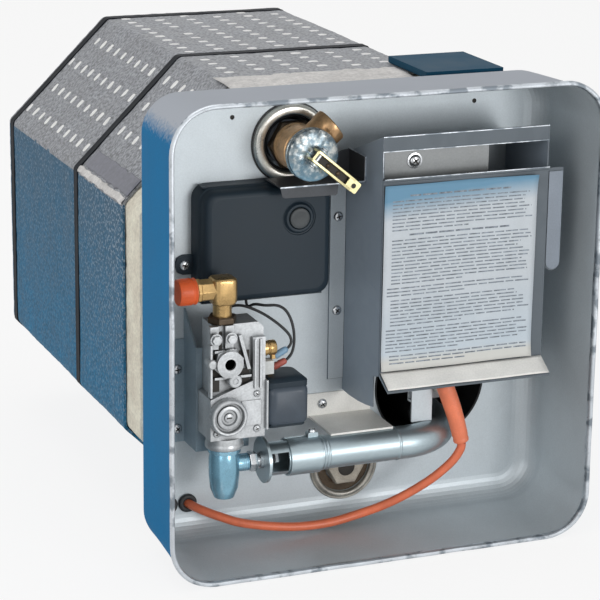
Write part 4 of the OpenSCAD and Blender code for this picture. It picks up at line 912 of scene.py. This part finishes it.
def relief_valve():
    x, z = RELIEF
    at = (x, 0, z)
    p = Piece()
    p.lathe([(20.9, 86.0), (20.9, 82.0), (21.3, 81.3), (22.2, 81.05), (25.6, 81.05), (27.0, 81.6),
             (27.9, 82.9), (28.1, 84.6), (27.6, 85.9)], at, "y", 72, ring=True)
    p.done("relief_ring_rolled", "ring", "relief_port_ring", sharp=50)
    p = Piece()
    p.lathe([(20.5, 88), (20.7, 84.4), (19.6, 83.2), (18.9, 84.4), (18.8, 88)], at, "y", 64, ring=True)
    p.lathe([(29.2, 85.95), (29.2, 85.5), (28.1, 85.3), (28.1, 85.95)], at, "y", 64, ring=True)
    p.done("relief_seal", "rubber", sharp=45)

    # body: turned barrel with two grooves, hexagon darkened as painted shade behind the ring, and the outlet
    # branch with its female thread
    p = Piece()
    p.lathe([(4, 49.2), (15.6, 49.2), (16.4, 50), (16.4, 54.2), (15.7, 54.8), (15.7, 55.6), (16.4, 56.2),
             (16.45, 70.5), (15.8, 71.3), (15.8, 72.2), (16.3, 73), (16.3, 76.2), (4, 76.2)], at, "y", 64)
    p.lathe([(17.112, 76), (18.4, 77.2), (18.4, 82.8), (17.112, 84)], at, "y", 6, 3)
    p.lathe([(13.2, 84), (13.2, 103.5), (12.2, 104.5), (3, 104.5)], at, "y", 40)
    thread(p, at, "y", 13.28, 86, 104)
    outlet = (x, 62, z)
    d = Vector((math.cos(math.radians(38)), 0, math.sin(math.radians(38))))
    p.lathe([(7, 14.2), (9.2, 14.2), (9.2, 26.4), (10, 26.9), (11.8, 26.9), (12.4, 26.2), (12.45, 21),
             (12.0, 20.2), (11.6, 17.5), (11.6, 8)], outlet, d, 56)
    thread(p, outlet, d, 8.6, 15, 26, 1.8, 0.6, 1, inside=True)
    # dark disc deep in the outlet's bore: painted shade
    p.lathe([(0.02, 14.4), (9.1, 14.4)], outlet, d, 40, 2)
    p.done("relief_body_cast", ["copper", "copper", "slot", "bronze_and_shade"], "relief_valve_body", sharp=38)

    # bonnet: plated, knurled, with a hammered crown and two ears for the lever's pin
    p = Piece()
    rows = [(18.2, 48.9), (18.45, 48.2), (18.45, 47.2), (17.8, 46.7), (18.0, 46.2), (18.45, 45.7),
            (18.45, 43.4), (18.1, 42.3), (17.2, 41.5), (15.4, 40.9), (12.6, 40.5), (9.4, 40.2), (6.2, 40.0),
            (3.2, 39.9)]
    n = 84
    rings = []
    for i, (r, y) in enumerate(rows):
        ring = []
        for k in range(n):
            c = math.cos(2 * math.pi * k / n)
            s = math.sin(2 * math.pi * k / n)
            q = r - (0.4 if k % 3 == 0 and i in (5, 6) else 0)
            hammered = noise.noise(Vector((r * c, r * s, 3)) / 3.4) * 0.55 + 0.3 if i > 7 else 0
            ring.append((x + q * c, y + hammered, z + q * s))
        rings.append(ring)
    p.rings(rings)
    ear = [(-3.9, 41.2), (3.9, 41.2), (3.9, 34), (3.2, 32.2), (1.6, 31.2), (-1.6, 31.2), (-3.2, 32.2),
           (-3.9, 34)]
    for s in (-1, 1):
        p.rings([[along_lever(Vector((u, v, s * t))) for u, v in ear] for t in (4.85, 6.25)])
    p.done("relief_bonnet_cap", "mottled", "relief_bonnet", sharp=34)

    # lever: a channel open to the front, with a flat tongue at its end
    p = Piece()
    side = [(-4.9, 31.5), (-4.0, 30.2), (-2.2, 29.85), (30, 29.85), (33, 30.4), (34, 32.4), (26, 34.6),
            (8, 38.1), (-4.9, 38.1)]
    for s in (-1, 1):
        p.prism(side, "z", (s * 2.75, s * 4.45))
    # dark box between the flanges, and a dark disc on the tongue: painted shade
    p.box((-1, 31), (33.2, 34.4), (-3.4, 3.4), 1)
    tongue = [(26.5, -4.45), (36.2, -4.2), (36.9, -3.2), (36.9, 3.2), (36.2, 4.2), (26.5, 4.45)]
    p.prism(tongue, "y", (30.1, 31.3))
    p.lathe([(1.9, 30.0), (1.9, 30.8)], (32.2, 0, 0), "y", 16, 1)
    for u in (9, 18.5):
        p.lathe([(1.7, 33.3), (1.6, 32.6), (0.9, 32.2), (0.02, 32.1)], (u, 0, 0), "y", 16, 2)
    p.box((-4.8, -2.8), (30.4, 31.3), (-3.4, 3.4))
    p.done("relief_lever_folded", ["lever", "slot", "bronze_and_shade"], "relief_lever", "lever", 0.25,
           move=along_lever)

    # pin with a peened head at each end
    p = Piece()
    p.lathe([(1.2, -7.9), (2.3, -7.6), (2.5, -7.0), (2.3, -6.4), (1.55, -6.3), (1.55, 6.3), (2.3, 6.4),
             (2.5, 7.0), (2.3, 7.6), (1.2, 7.9)], (0, 34, 0), "z", 24)
    p.done("lever_pin_peened", "bright", "lever_pin", move=along_lever)


def drip_tray():
    """Tray beside the flue box with a rounded back plate, its faces dark with painted shade; its sheet edges
    are bright.
    """
    p = Piece()
    arc = [(-1.2, 102.9)]
    for a in range(0, 91, 10):
        arc.append((-1.2 - 19.5 * math.sin(math.radians(a)), 102.9 + 16.8 * math.cos(math.radians(a))))
    p.box((-38, -0.05), (50.4, 80.3), (101.72, 102.8))
    p.box((-1.2, -0.05), (50.4, 80.3), (101.72, 119.8))
    p.prism(arc, "y", (77.2, 78.2))
    p.box((-38, -0.05), (50.0, 50.5), (101.7, 102.84), 1)
    p.box((-1.22, -0.05), (50.0, 50.5), (101.7, 119.85), 1)
    p.box((-1.22, -0.05), (50.4, 79.8), (119.5, 119.9), 1)
    p.done("drip_tray", ["shadow", "hem"], "drip_shield", bevel=0.15)
    # the tray's shelf carried on under the relief valve, with its front edge turned down; both dark with
    # painted shade
    p = Piece()
    p.box((-64, -38.1), (50.4, 79.4), (101.8, 102.8))
    p.box((-64, -38.1), (50.0, 50.5), (101.75, 102.84), 1)
    apron = [(-63.6, 101.9), (-62.2, 95.6), (-60.4, 94.6), (-22.6, 94.0), (-21.2, 95.0), (-20.6, 101.6)]
    p.prism(apron, "y", (50.6, 51.3))
    p.done("drip_shelf", ["shadow", "hem"], bevel=0.15)


def thermostat():
    """Moulded cover: a stepped bevel round its face, a boss ring with the button in it, and a screw ear."""
    rows = [(0, 86, 10), (0.3, 80.5, 10), (0.6, 74.5, 10), (1.0, 73.4, 10), (1.6, 73.0, 9.6),
            (2.0, 72.2, 9.4), (2.4, 70, 9.2), (2.9, 67.4, 9), (4.0, 65.6, 8.5), (5.6, 64.6, 8),
            (7.4, 64.2, 7.5)]
    rings = [[(a, y, b) for a, b in rounded(49.5 - d, 42.2 - d, r, 8, -66.5, 59.16)] for d, y, r in rows]
    p = Piece()
    p.rings(rings, caps=False)
    p.fill([rings[-1], circle(BUTTON[0], BUTTON[2], 12.4, 48, 64.2)])
    p.lathe([(12.4, 64.2), (12.0, 64.9), (11.3, 65.0), (10.7, 64.4), (10.3, 63.3), (9.8, 62.75),
             (9.0, 62.6), (8.2, 62.8), (7.75, 63.4), (7.7, 66)], BUTTON, caps=False)
    ear = [(-114, 51.3), (-123, 51.3), (-126.6, 49.6), (-127.9, 46), (-127.9, 42.6), (-126.6, 39),
           (-123, 37.4), (-114, 37.4)]
    p.prism(ear, "y", (WALL, 83.6, 83.05))
    # a moulded rib along the top edge and one along the lower
    for z in (100.6, 17.8):
        p.box((-112, -22), (74.6, 84), (z - 0.5, z + 0.5))

    def notch(v):
        """Room behind the cover for the relief valve's ring."""
        seat = 80.4
        near = math.hypot(v.x - RELIEF[0], v.z - RELIEF[1]) < 27
        return Vector((v.x, seat, v.z)) if near and v.y > seat else v

    p.done("thermostat_moulded", "black", "thermostat_cover", sharp=28, move=notch)
    p = Piece()
    p.lathe([(5.75, 69.8), (5.75, 67.9), (7.4, 67.9), (7.4, 62.7), (7.1, 62.0), (6.3, 61.65), (4.8, 61.75),
             (2.6, 61.95), (0.02, 62.0)], BUTTON, "y", 40)
    p.done("reset_button_domed", "button", "reset_button", "button", sharp=40)


def screws():
    p = Piece()
    for x, z, seat, turn in ((-6, 69.5, 84.8, 15), (-6, 0, 84.8, 50), (-16, -69.4, 84.5, 30),
                             (-122, 44.36, 83, 70), (-127, -31.5, 84.5, 5), (-127, -75.5, 84.5, 40)):
        screw_head(p, x, seat, z, turn)
        p.lathe([(1.7, 0), (1.7, 6)], (x, seat, z), "y", 16)
    p.done("panel_screw_heads", ["bright", "slot"], "panel_screws", sharp=40)
    at = (29, 34, 118.5)
    p = Piece()
    screw_head(p, *at, turn=35, r=4.2, h=2.6)
    p.lathe([(1.7, 0), (1.7, 5)], at, "y", 16)
    p.lathe([(5.6, -0.05), (5.6, -0.7), (4.4, -0.8), (4.4, -0.05)], at, "y", 32, ring=True)
    p.done("baffle_screw_head", ["bright", "slot"], "baffle_screw", sharp=40)


def boot_and_seals():
    """Rubber boot over the electrode's end, beaded where the lead leaves it, and the two grommets."""
    top = Vector((62, 44, -51))
    way = Vector(BOOT_END) - top
    length = way.length
    d = way.normalized()
    side = d.cross(Vector((0, 1, 0))).normalized()
    rows = ((0, 5.6), (1.2, 6.3), (3, 6.4), (10, 6.35), (20, 6.2), (30, 6.0), (38, 5.85), (41, 5.8),
            (42.2, 5.4), (43.2, 5.6), (44.6, 5.75), (45.8, 5.5), (46.6, 4.4), (length, 3.3))
    line = [top + d * t + side * 1.1 * math.sin(math.pi * t / length) for t, _ in rows]
    p = Piece()
    p.tube(line, [r for _, r in rows], 32)
    p.done("boot_rubber", "boot", "lead_boot", sharp=50)
    p = Piece()
    for x in (GROMMET_X, SPARE_HOLE[0]):
        p.lathe([(3.4, 83.4), (3.9, 83.1), (5.6, 83.05), (6.5, 83.5), (6.85, 84.4), (6.7, 85.6), (6.3, 86),
                 (5.4, 86.2), (5.4, 88.6), (4.9, 89.4), (3.4, 89.4)], (x, 0, GROMMET_Z), "y", 40, ring=True)
    p.done("grommet_rubber", "rubber", "lead_grommets", sharp=50)


def drain():
    at = (DRAIN[0], 0, DRAIN[1])
    p = Piece()
    p.lathe([(20.6, 86), (20.6, 84.6), (21.4, 83.6), (22.6, 83.1), (23.6, 83.4), (24.2, 84.4), (24.9, 84.9),
             (25.8, 84.4), (26.4, 84.9), (26.4, 86)], at, "y", 72, ring=True)
    p.done("drain_ring", "drain_ring", "drain_collar", sharp=50)
    p = Piece()
    p.lathe([(14.9, 88.4), (14.9, 81.2), (13.708, 79.7)], at, "y", 6)
    # dark disc in the hexagon's socket: painted shade
    p.lathe([(6.6, 79.68), (6.4, 79.62), (0.02, 79.62)], at, "y", 32, 1, caps=False)
    p.lathe([(7.6, 79.9), (7.4, 79.5), (6.6, 79.5), (6.5, 79.9)], at, "y", 32, ring=True)
    p.lathe([(13.2, 88.4), (13.2, 120)], at, "y", 40)
    thread(p, at, "y", 13.3, 89, 112)
    p.lathe([(20.4, 87.2), (14, 87.2), (14, 87.6), (20.4, 87.6)], at, "y", 48, 2, ring=True)
    p.done("drain_hex", ["olive", "slot", "bronze_and_shade"], "drain_plug")


def gas_valve():
    """Casting details set on the valve's body, and the pieces screwed to it."""
    p = Piece()
    # two cap bolts with washers
    for x in (-117, -106):
        p.lathe([(3.3, 31.1), (3.3, 29.4), (3.3, 28.8)], (x, 0, 4.4), "y", 6)
        p.lathe([(4.4, 31.2), (4.4, 30.8), (2.4, 30.75)], (x, 0, 4.4), "y", 24)
    # ribs down the right-hand edge, across the upper part and down the left-hand edge
    for x in (-88.4, -84.4):
        p.box((x, x + 1.5), (32.6, 34.2), (-34, 1.5))
    p.box((-117, -101), (34.2, 38.2), (-6.3, -4.5))
    p.box((-117, -90), (34.2, 38.2), (-25.5, -23.7))
    p.box((-120.4, -118.8), (33.4, 38.4), (-38, 0))
    # gaps between the castings, dark with painted shade, and a slanting stay
    for x, z in (((-118.6, -112.4), (-35, -8.5)), ((-99.4, -90.6), (-32, -20)),
                 ((-113.2, -110.6), (-6.5, 8)), ((-98.2, -90.6), (-17, -7))):
        p.box(x, (37.5, 38.15), z, 1)
    p.prism([(-99.6, 5), (-97, 5), (-90.2, -20), (-92.8, -20)], "y", (38.1, 34.6))
    # the tap's collar, a ring in its bore and a dark disc in the bore as painted shade
    tap = (-107, 0, -14)
    p.lathe([(11.2, 38.4), (11.2, 33.3), (11.2, 32.6)], tap, "y", 6, turn=-0.26)
    p.lathe([(9.4, 32), (9.4, 30.4), (8.8, 29.9), (5.4, 29.9), (4.6, 30.5), (4.4, 32.5)], tap, "y", 40,
            caps=False)
    p.lathe([(4.3, 32.6), (0.02, 32.8)], tap, "y", 24, 1)
    # small screws, a pad and two bosses
    for x, z, r in ((-86, -63.5, 2.6), (-115.6, -64.4, 2.4), (-86.2, -38, 2.4)):
        screw_head(p, x, 34.1, z, turn=z, r=r, h=1.7)
    p.box((-97.5, -83), (33.3, 34.4), (-60.5, -42.5))
    p.lathe([(4.9, 34), (4.9, 31.2), (4.2, 30.4), (2.2, 30.4), (1.8, 31), (0.02, 31)], (-103, 0, -26.5),
            "y", 28)
    p.lathe([(3.4, 34), (3.4, 32.4), (2.8, 31.7), (0.02, 31.6)], (-119, 0, -13.5), "y", 24)
    # machined foot above the outlet
    p.lathe([(12.9, -78), (13.6, -76.8), (13.6, -74.6), (12.9, -73.6), (12.9, -70), (5, -70)],
            (FITTING_X, BURNER_Y, 0), "z", 44)
    p.done("gas_valve_castings", ["cast", "slot"], bevel=0.35)

    cap = (-108, 0, -52)
    p = Piece()
    p.lathe([(13.4, 34.2), (13.4, 29.4), (12.9, 28.3), (12.2, 27.7), (11.0, 27.8), (10.5, 28.6),
             (10.2, 30.4), (8.9, 30.4), (8.4, 29.2), (7.8, 28.9), (6.0, 28.9), (5.5, 29.4), (5.2, 30.4),
             (3.5, 30.4), (3.1, 29.3), (2.4, 28.9), (0.02, 28.8)], cap, "y", 56)
    ribs(p, cap, "y", 13.15, 20, 0.32, 29.6, 33.8)
    # dark slot: painted shade
    p.box((-109.9, -106.1), (28.7, 29.2), (-52.45, -51.55), 1)
    p.done("regulator_turned", ["cast", "slot"], "regulator_cap", sharp=32)

    # coil: potted winding with a dark shoulder above it, in a folded yoke
    p = Piece()
    p.stack("y", [(rounded(15.0 - d, 14.6 - d, 4.5 - d * 0.4, 6, -63.6, -48.4), y) for d, y in
                  ((0, 61.5), (0, 34.4), (0.4, 32.4), (1.2, 30.4), (2.6, 29.0), (4.2, 28.2))])
    p.stack("z", [(rounded(15.4 - d, 15.4 - d, 5, 5, -63.8, 46), z) for d, z in
                  ((0.6, -36.2), (0, -35.6), (0, -31.4), (2.4, -29.4), (5, -28.6))], 1)
    p.prism(rounded(14.2, 14.2, 4, 5, -63.8, 46.6), "z", (-64.4, -62.6), 1)
    p.box((-79.9, -78.3), (31, 61.4), (-64.4, -28.6), 2)
    for z in (-57, -50, -43):
        p.box((-49.2, -48.2), (34, 58), (z - 1.6, z + 1.6))
    p.done("coil_potted", ["coil", "black", "bright"], "solenoid_coil", bevel=0.4, sharp=30)

    # inlet: forged brass elbow under an orange cap
    inlet = (0, BURNER_Y, 36.5)
    p = Piece()
    p.lathe([(8.0, -139.2), (8.9, -140.4), (9.2, -139.2), (9.3, -131.2), (8.8, -130.6), (8.8, -129.6),
             (9.3, -129), (9.3, -128.1), (8.2, -128), (8.2, -138.6)], inlet, "x", 56, ring=True)
    p.lathe([(0.02, -140.7), (5.5, -140.7), (8.2, -140.5), (8.8, -139.9), (8.2, -139.2)], inlet, "x", 56)
    ribs(p, inlet, "x", 9.0, 24, 0.33, -138.6, -131.6)
    p.done("inlet_cap_moulded", "cap", "inlet_cap", sharp=40)
    p = Piece()
    p.lathe([(5, -133), (8.0, -133), (8.0, -127.4), (8.5, -127), (8.5, -125), (7.9, -124.4), (7.9, -115),
             (8.4, -113), (5, -110)], inlet, "x", 8)
    p.stack("z", [(rounded(8.9 * k, 8.6 * k, 4.6 * k, 5, -107.6, BURNER_Y), z) for k, z in
                  ((0.6, 25.2), (0.86, 26.2), (0.98, 28), (1, 31), (1, 41.5), (0.97, 43.6), (0.86, 44.7),
                   (0.62, 45))])
    p.lathe([(6.6, 16), (6.6, 27)], (-107.8, BURNER_Y, 0), "z", 40)
    p.lathe([(9.858, 12.5), (10.6, 13.4), (10.6, 16.6), (9.752, 17.6)], (-108, BURNER_Y, 0), "z", 6, 1)
    p.done("inlet_elbow_forged", ["brass", "bronze_and_shade"], "inlet_elbow", bevel=0.6)

    # outlet tee, orifice and the two sleeves on the wire ends
    tee = (FITTING_X, BURNER_Y, BURNER_Z)
    p = Piece()
    p.lathe([(6.4, -23.8), (7.2, -23.6), (9.9, -16.5), (10.8, -7), (10.9, 5), (10.2, 8.6), (9.6, 11),
             (9.6, 13.9)], tee, "z", 48)
    p.lathe([(8.9, 9.6), (11.6, 10.2), (11.6, 13.0), (8.9, 13.6)], tee, "z", 40, ring=True)
    p.lathe([(6.2, 4), (6.2, 15.6), (5.6, 17.2), (4.2, 17.9)], tee, "x", 36)
    thread(p, tee, "x", 6.3, 11.8, 16.6, 1.5, 0.5)
    p.done("outlet_tee_faceted", "tee", "outlet_fitting", bevel=0.5, sharp=25)
    p = Piece()
    p.lathe([(6.808, -88), (7.4, -87.2), (7.4, -83.4), (6.808, -82.6)], BURNER, "x", 6)
    p.lathe([(4.6, -83), (4.6, -80.6), (5.9, -80.2), (5.9, -72.4), (5.2, -71.6), (3.2, -68.4), (0.8, -68.2)],
            BURNER, "x", 32)
    p.done("orifice_turned", "bright", "orifice_nozzle")
    rows = ((0, 2.1), (0.06, 2.55), (0.3, 2.55), (0.4, 2.3), (0.5, 2.5), (0.86, 2.3), (0.96, 1.8), (1.0, 1.2))
    for name, look, a, b in (("sleeve_red", "red", (-70, 45, -24), (-61, 43, -19)),
                             ("sleeve_blue", "sleeve", (-70, 42, -15), (-61, 41, -10))):
        p = Piece()
        p.tube([Vector(a).lerp(Vector(b), t) for t, _ in rows], [r for _, r in rows], 20)
        p.done(name, look, "wire_sleeves", sharp=50)


def terminals():
    p = Piece()
    p.lathe([(5.4, -80), (5.4, -76.6), (4.7, -76.2), (4.7, -75.4), (5.4, -75), (5.4, -71.2), (4.8, -70.2),
             (0.02, -70)], (0, 41, -8), "x", 36)
    p.box((-79.9, -72.2), (37.1, 44.9), (-26.4, -16.6), 1)
    p.box((-75.1, -69.9), (44, 46), (-28.5, -22))
    p.box((-73, -70), (40, 44), (-16.5, -13.5))
    p.done("terminal_posts", ["brass", "white"], "valve_terminals", bevel=0.5)


def burner_parts():
    """Crimp beads and flange on the tube, the shutter's split band and its screw."""
    p = Piece()
    for x, r in ((-33.2, 12.55), (-30.6, 12.45), (24.5, 12.4)):
        bead = [(11.9, x - 1.2), (r - 0.15, x - 0.9), (r, x), (r - 0.15, x + 0.9), (11.9, x + 1.2)]
        p.lathe(bead, BURNER, "x", 56, ring=True)
    p.lathe([(12.05, -77.9), (16.3, -77.9), (16.4, -77.2), (16.3, -76.1), (12.4, -75.9), (12.05, -75.2)],
            BURNER, "x", 64, ring=True)
    p.done("burner_beads", "burner", sharp=50)

    p = Piece()
    rows = ((12.35, -60), (13.6, -60), (13.68, -59), (13.68, -37), (13.6, -36), (12.35, -36))
    rings = []
    for k in range(61):
        a = math.radians(97 + 346 * k / 60)
        rings.append([(x, BURNER_Y + r * math.cos(a), BURNER_Z + r * math.sin(a)) for r, x in rows])
    p.rings(rings)
    lug = [(-44, -79.4), (-36.2, -79.4), (-36.2, -75.6), (-37.4, -74.9), (-42.8, -74.9), (-44, -75.6)]
    for s in (-1, 1):
        p.prism(lug, "y", (BURNER_Y + s * 1.2, BURNER_Y + s * 2.9))
    p.box((-43.6, -36.6), (42.4, 47.6), (-76.4, -75.0))
    p.done("air_shutter_band", "burner", "air_shutter", "shutter", 0.2)
    at = (-40, BURNER_Y, 0)
    p = Piece()
    p.lathe([(1.6, -78.8), (1.6, -75)], at, "z", 16)
    p.lathe([(2.8, -74.95), (2.8, -73.9), (2.3, -73.1), (1.2, -72.9), (0.02, -72.85)], at, "z", 24)
    # dark slot: painted shade
    p.box((-42.2, -37.8), (44.65, 45.35), (-73.2, -72.82), 1)
    p.done("shutter_screw_slotted", ["bright", "slot"], "shutter_screw", "shutter", sharp=40)


def flue_trim():
    """Cream-coated lip under the sheet, sheet edges, flange and skirt of the flue box."""
    def lip(i, j):
        x = 0.8 + 125.4 * i / 24
        t = j / 8
        wave = 0.12 * math.sin(x / 9 + 2 * t) + 0.10 * noise.noise(Vector((x / 12, t * 3, 0)))
        return (x, 20.15 - 14.2 * t - wave * 0.4, -28.58 - 8.6 * t + wave)

    p = Piece()
    p.sheet(24, 8, lip)
    p.done("lip_coating", "cream", sharp=80, thick=0.2)
    p = Piece()
    p.box((0.05, 126.9), (21.75, 22.1), (138.7, 139.45))
    p.box((0.05, 126.9), (21.75, 22.1), (128.5, 129.1))
    p.box((0.02, 0.5), (21.75, 22.1), (109.6, 128.6))
    p.box((0.3, 126.6), (18.75, 19.1), (109.6, 110.35))
    p.done("flue_sheet_edges", "hem", bevel=0.1)

    # bare flange down the left of the flue box and the upper end of the strip at its right
    front = 84.5
    flange = [(-11.8, -51.2), (-0.3, -51.2), (-0.3, 101), (-11.8, 101)]
    strip = [(127.6, 106), (127.6, 40)]
    for k in range(1, 8):
        a = math.pi * (1 + k / 8)
        strip.append((133 + 5.4 * math.cos(a), 40 + 5.4 * math.sin(a)))
    strip += [(138.4, 40), (138.4, 106)]
    p = Piece()
    p.fill([[(a, front, b) for a, b in flange], *(circle(-6, z, 1.8, 16, front) for z in (69.5, 0))])
    p.prism(flange, "y", (front, front + 0.35), caps=False)
    p.prism(strip, "y", (21.2, 21.6), 1)
    p.done("flue_flange_bare", ["pan", "tank"], sharp=40)

    # skirt that carries the flue box's left wall down towards the burner port
    p = Piece()
    p.prism([(30, -33.5), (85.6, -50.8), (85.6, -60.4), (72, -60.9), (56, -60.2), (42, -58.6), (30, -56.4)],
            "x", (-0.15, 0.55))
    p.done("flue_skirt", "flue", sharp=40)


def tapes():
    """Tape along the jacket's upper left edge, with a whitish strip over the edge that is partly the tape's
    edge and partly a painted highlight; t runs up the slope from the edge.
    """
    rows = 12
    cols = 22
    front = 119.5
    edge_z = 83.5
    s = DIAGONAL
    for name, look, low, high, back in (("jacket_tape", "tape", 6, 21, 221),
                                        ("jacket_edge_highlight_tape", "edge_tape", -1.2, 4.4, 225)):
        def place(i, j):
            t = low + (high - low) * j / rows
            y = front + (back - front + 3 * noise.noise(Vector((t / 6, 5, 0)))) * i / cols
            if j in (0, rows):
                t += 1.6 * noise.noise(Vector((y / 8, low, 1)))
            x, z = (s * t - JACKET_W, edge_z + s * t) if t > 0 else (-JACKET_W, edge_z + t)
            nx, nz = (-s, s) if t > 0 else (-0.92, 0.38)
            d = max(crinkle(Vector((x, y, z))), -0.5) * 0.5 + 0.10
            return (max(x + nx * d, -JACKET_W - 0.2), y, z + nz * d)

        p = Piece()
        p.sheet(cols, rows, place)
        p.done(name, look, sharp=80, thick=0.3)


def junction_box():
    """Knock-outs pressed into the sides of the junction box, and the rim of its lid."""
    p = Piece()
    knockout = [(10.6, 0.0), (10.4, 0.35), (9.9, 0.45), (9.4, 0.3), (9.2, 0.12), (3.4, 0.12), (3.0, 0.4),
                (0.02, 0.45)]
    p.lathe(knockout, (122, 121, 141), "x", 40)
    p.lathe(knockout, (92, 154.5, 141), "y", 40)
    rim = (164.2, 168.5)
    p.box((61.7, 122.3), (154.5, 154.9), rim)
    p.box((122.0, 122.4), (88, 154.9), rim)
    p.box((61.6, 62.0), (88, 154.9), rim)
    p.done("junction_box_pressings", "box_blue", bevel=0.12)


def rear_fittings():
    """Brass water fittings with a hexagon, a male thread and a bore."""
    for name, node_name, z in (("cold_fitting", "cold_inlet", -95), ("hot_fitting", "hot_outlet", 95)):
        at = (0, 0, z)
        p = Piece()
        p.lathe([(9.4, 429), (13.9, 429), (13.9, 480.5), (13.2, 481.2), (13.0, 486.6), (12.4, 486.9),
                 (10.0, 486.9), (9.4, 486.2)], at, "y", 48, ring=True)
        p.lathe([(15.717, 469.1), (16.9, 470.4), (16.9, 479.6), (15.717, 480.9)], at, "y", 6)
        thread(p, at, "y", 13.95, 452, 468, depth=0.8)
        p.done(name, "brass", node_name, sharp=36)


def soften():
    """Small rounded edges on the nodes that keep their own shape."""
    widths = {"flue_box": 0.35, "flue_front_plate": 0.3, "flue_baffle": 0.3, "burner_bracket": 0.35,
              "electrode_bracket": 0.35, "gas_valve_body": 0.8, "valve_bracket": 0.35, "junction_box": 0.8,
              "junction_lid": 0.5, "burner_tube": 0.3, "electrode": 0.4}
    for name, width in widths.items():
        round_edges(nodes[name], width, 40, False)


# Stage, light and camera
def seen(t):
    """1 for the rays that show the studio itself, 0 for those that only light the object."""
    path = node(t, "ShaderNodeLightPath").outputs
    direct = calc(t, "MAXIMUM", path["Is Camera Ray"], path["Is Glossy Ray"])
    return calc(t, "MAXIMUM", direct, path["Is Transmission Ray"])


def studio():
    z = -0.0005
    floor = bpy.data.meshes.new("floor")
    floor.from_pydata([(-30, -30, z), (30, -30, z), (30, 30, z), (-30, 30, z)], [], [(0, 1, 2, 3)])
    m = bpy.data.materials.new("studio_floor")
    m.use_nodes = True
    t = m.node_tree
    s = t.nodes["Principled BSDF"]
    s.inputs["Base Color"].default_value = grey(0.86)
    s.inputs["Roughness"].default_value = 0.95
    s.inputs["Specular IOR Level"].default_value = 0.1
    glow = node(t, "ShaderNodeEmission")
    glow.inputs["Color"].default_value = grey(1)
    both = node(t, "ShaderNodeMixShader")
    t.links.new(calc(t, "MULTIPLY", seen(t), 0.86), both.inputs[0])
    t.links.new(s.outputs[0], both.inputs[1])
    t.links.new(glow.outputs[0], both.inputs[2])
    t.links.new(both.outputs[0], t.nodes["Material Output"].inputs[0])
    floor.materials.append(m)
    o = bpy.data.objects.new("floor", floor)
    scene.collection.objects.link(o)

    world = bpy.data.worlds.new("studio")
    scene.world = world
    world.use_nodes = True
    t = world.node_tree
    background = t.nodes["Background"]
    background.inputs[0].default_value = grey(1)
    t.links.new(remap(t, seen(t), 0, 1, 0.46, 1.0), background.inputs[1])

    for name, at, to, size, power in (("key", (0.75, -2.55, 0.42), (0, -0.15, 0.19), 0.8, 20),
                                      ("left_fill", (-2.0, -1.6, 0.8), (0, 0, 0.17), 1.6, 15),
                                      ("top", (-0.3, 0.2, 2.4), (0, 0.05, 0.2), 1.5, 10)):
        light = bpy.data.lights.new(name, "AREA")
        light.energy = power
        light.size = size
        o = bpy.data.objects.new(name, light)
        o.location = at
        o.rotation_euler = (Vector(to) - Vector(at)).to_track_quat("-Z", "Y").to_euler()
        scene.collection.objects.link(o)

    camera = bpy.data.cameras.new("camera")
    camera.sensor_width = 36
    camera.lens = 143.085
    camera.clip_start = 0.05
    camera.clip_end = 100
    o = bpy.data.objects.new("camera", camera)
    yaw, pitch, roll = (math.radians(a) for a in (22.109, -16.222, 0.779))
    forward = Vector((math.sin(yaw) * math.cos(pitch), math.cos(yaw) * math.cos(pitch), math.sin(pitch)))
    right = Vector((math.cos(yaw), -math.sin(yaw), 0))
    up = right.cross(forward)
    x_axis = math.cos(roll) * right + math.sin(roll) * up
    y_axis = math.cos(roll) * up - math.sin(roll) * right
    pose = Matrix((x_axis, y_axis, -forward)).transposed().to_4x4()
    pose.translation = (-0.64812, -1.66979, 0.64829)
    o.matrix_world = pose
    scene.collection.objects.link(o)
    scene.camera = o
    scene.view_settings.view_transform = "Standard"


for make in (cords, control_pan, jacket_foil, rear_cap, straps, dashes, collar, label_sheet, relief_valve,
             drip_tray, thermostat, screws, boot_and_seals, drain, gas_valve, terminals, burner_parts,
             flue_trim, tapes, junction_box, rear_fittings, soften, studio):
    make()

bpy.context.view_layer.update()
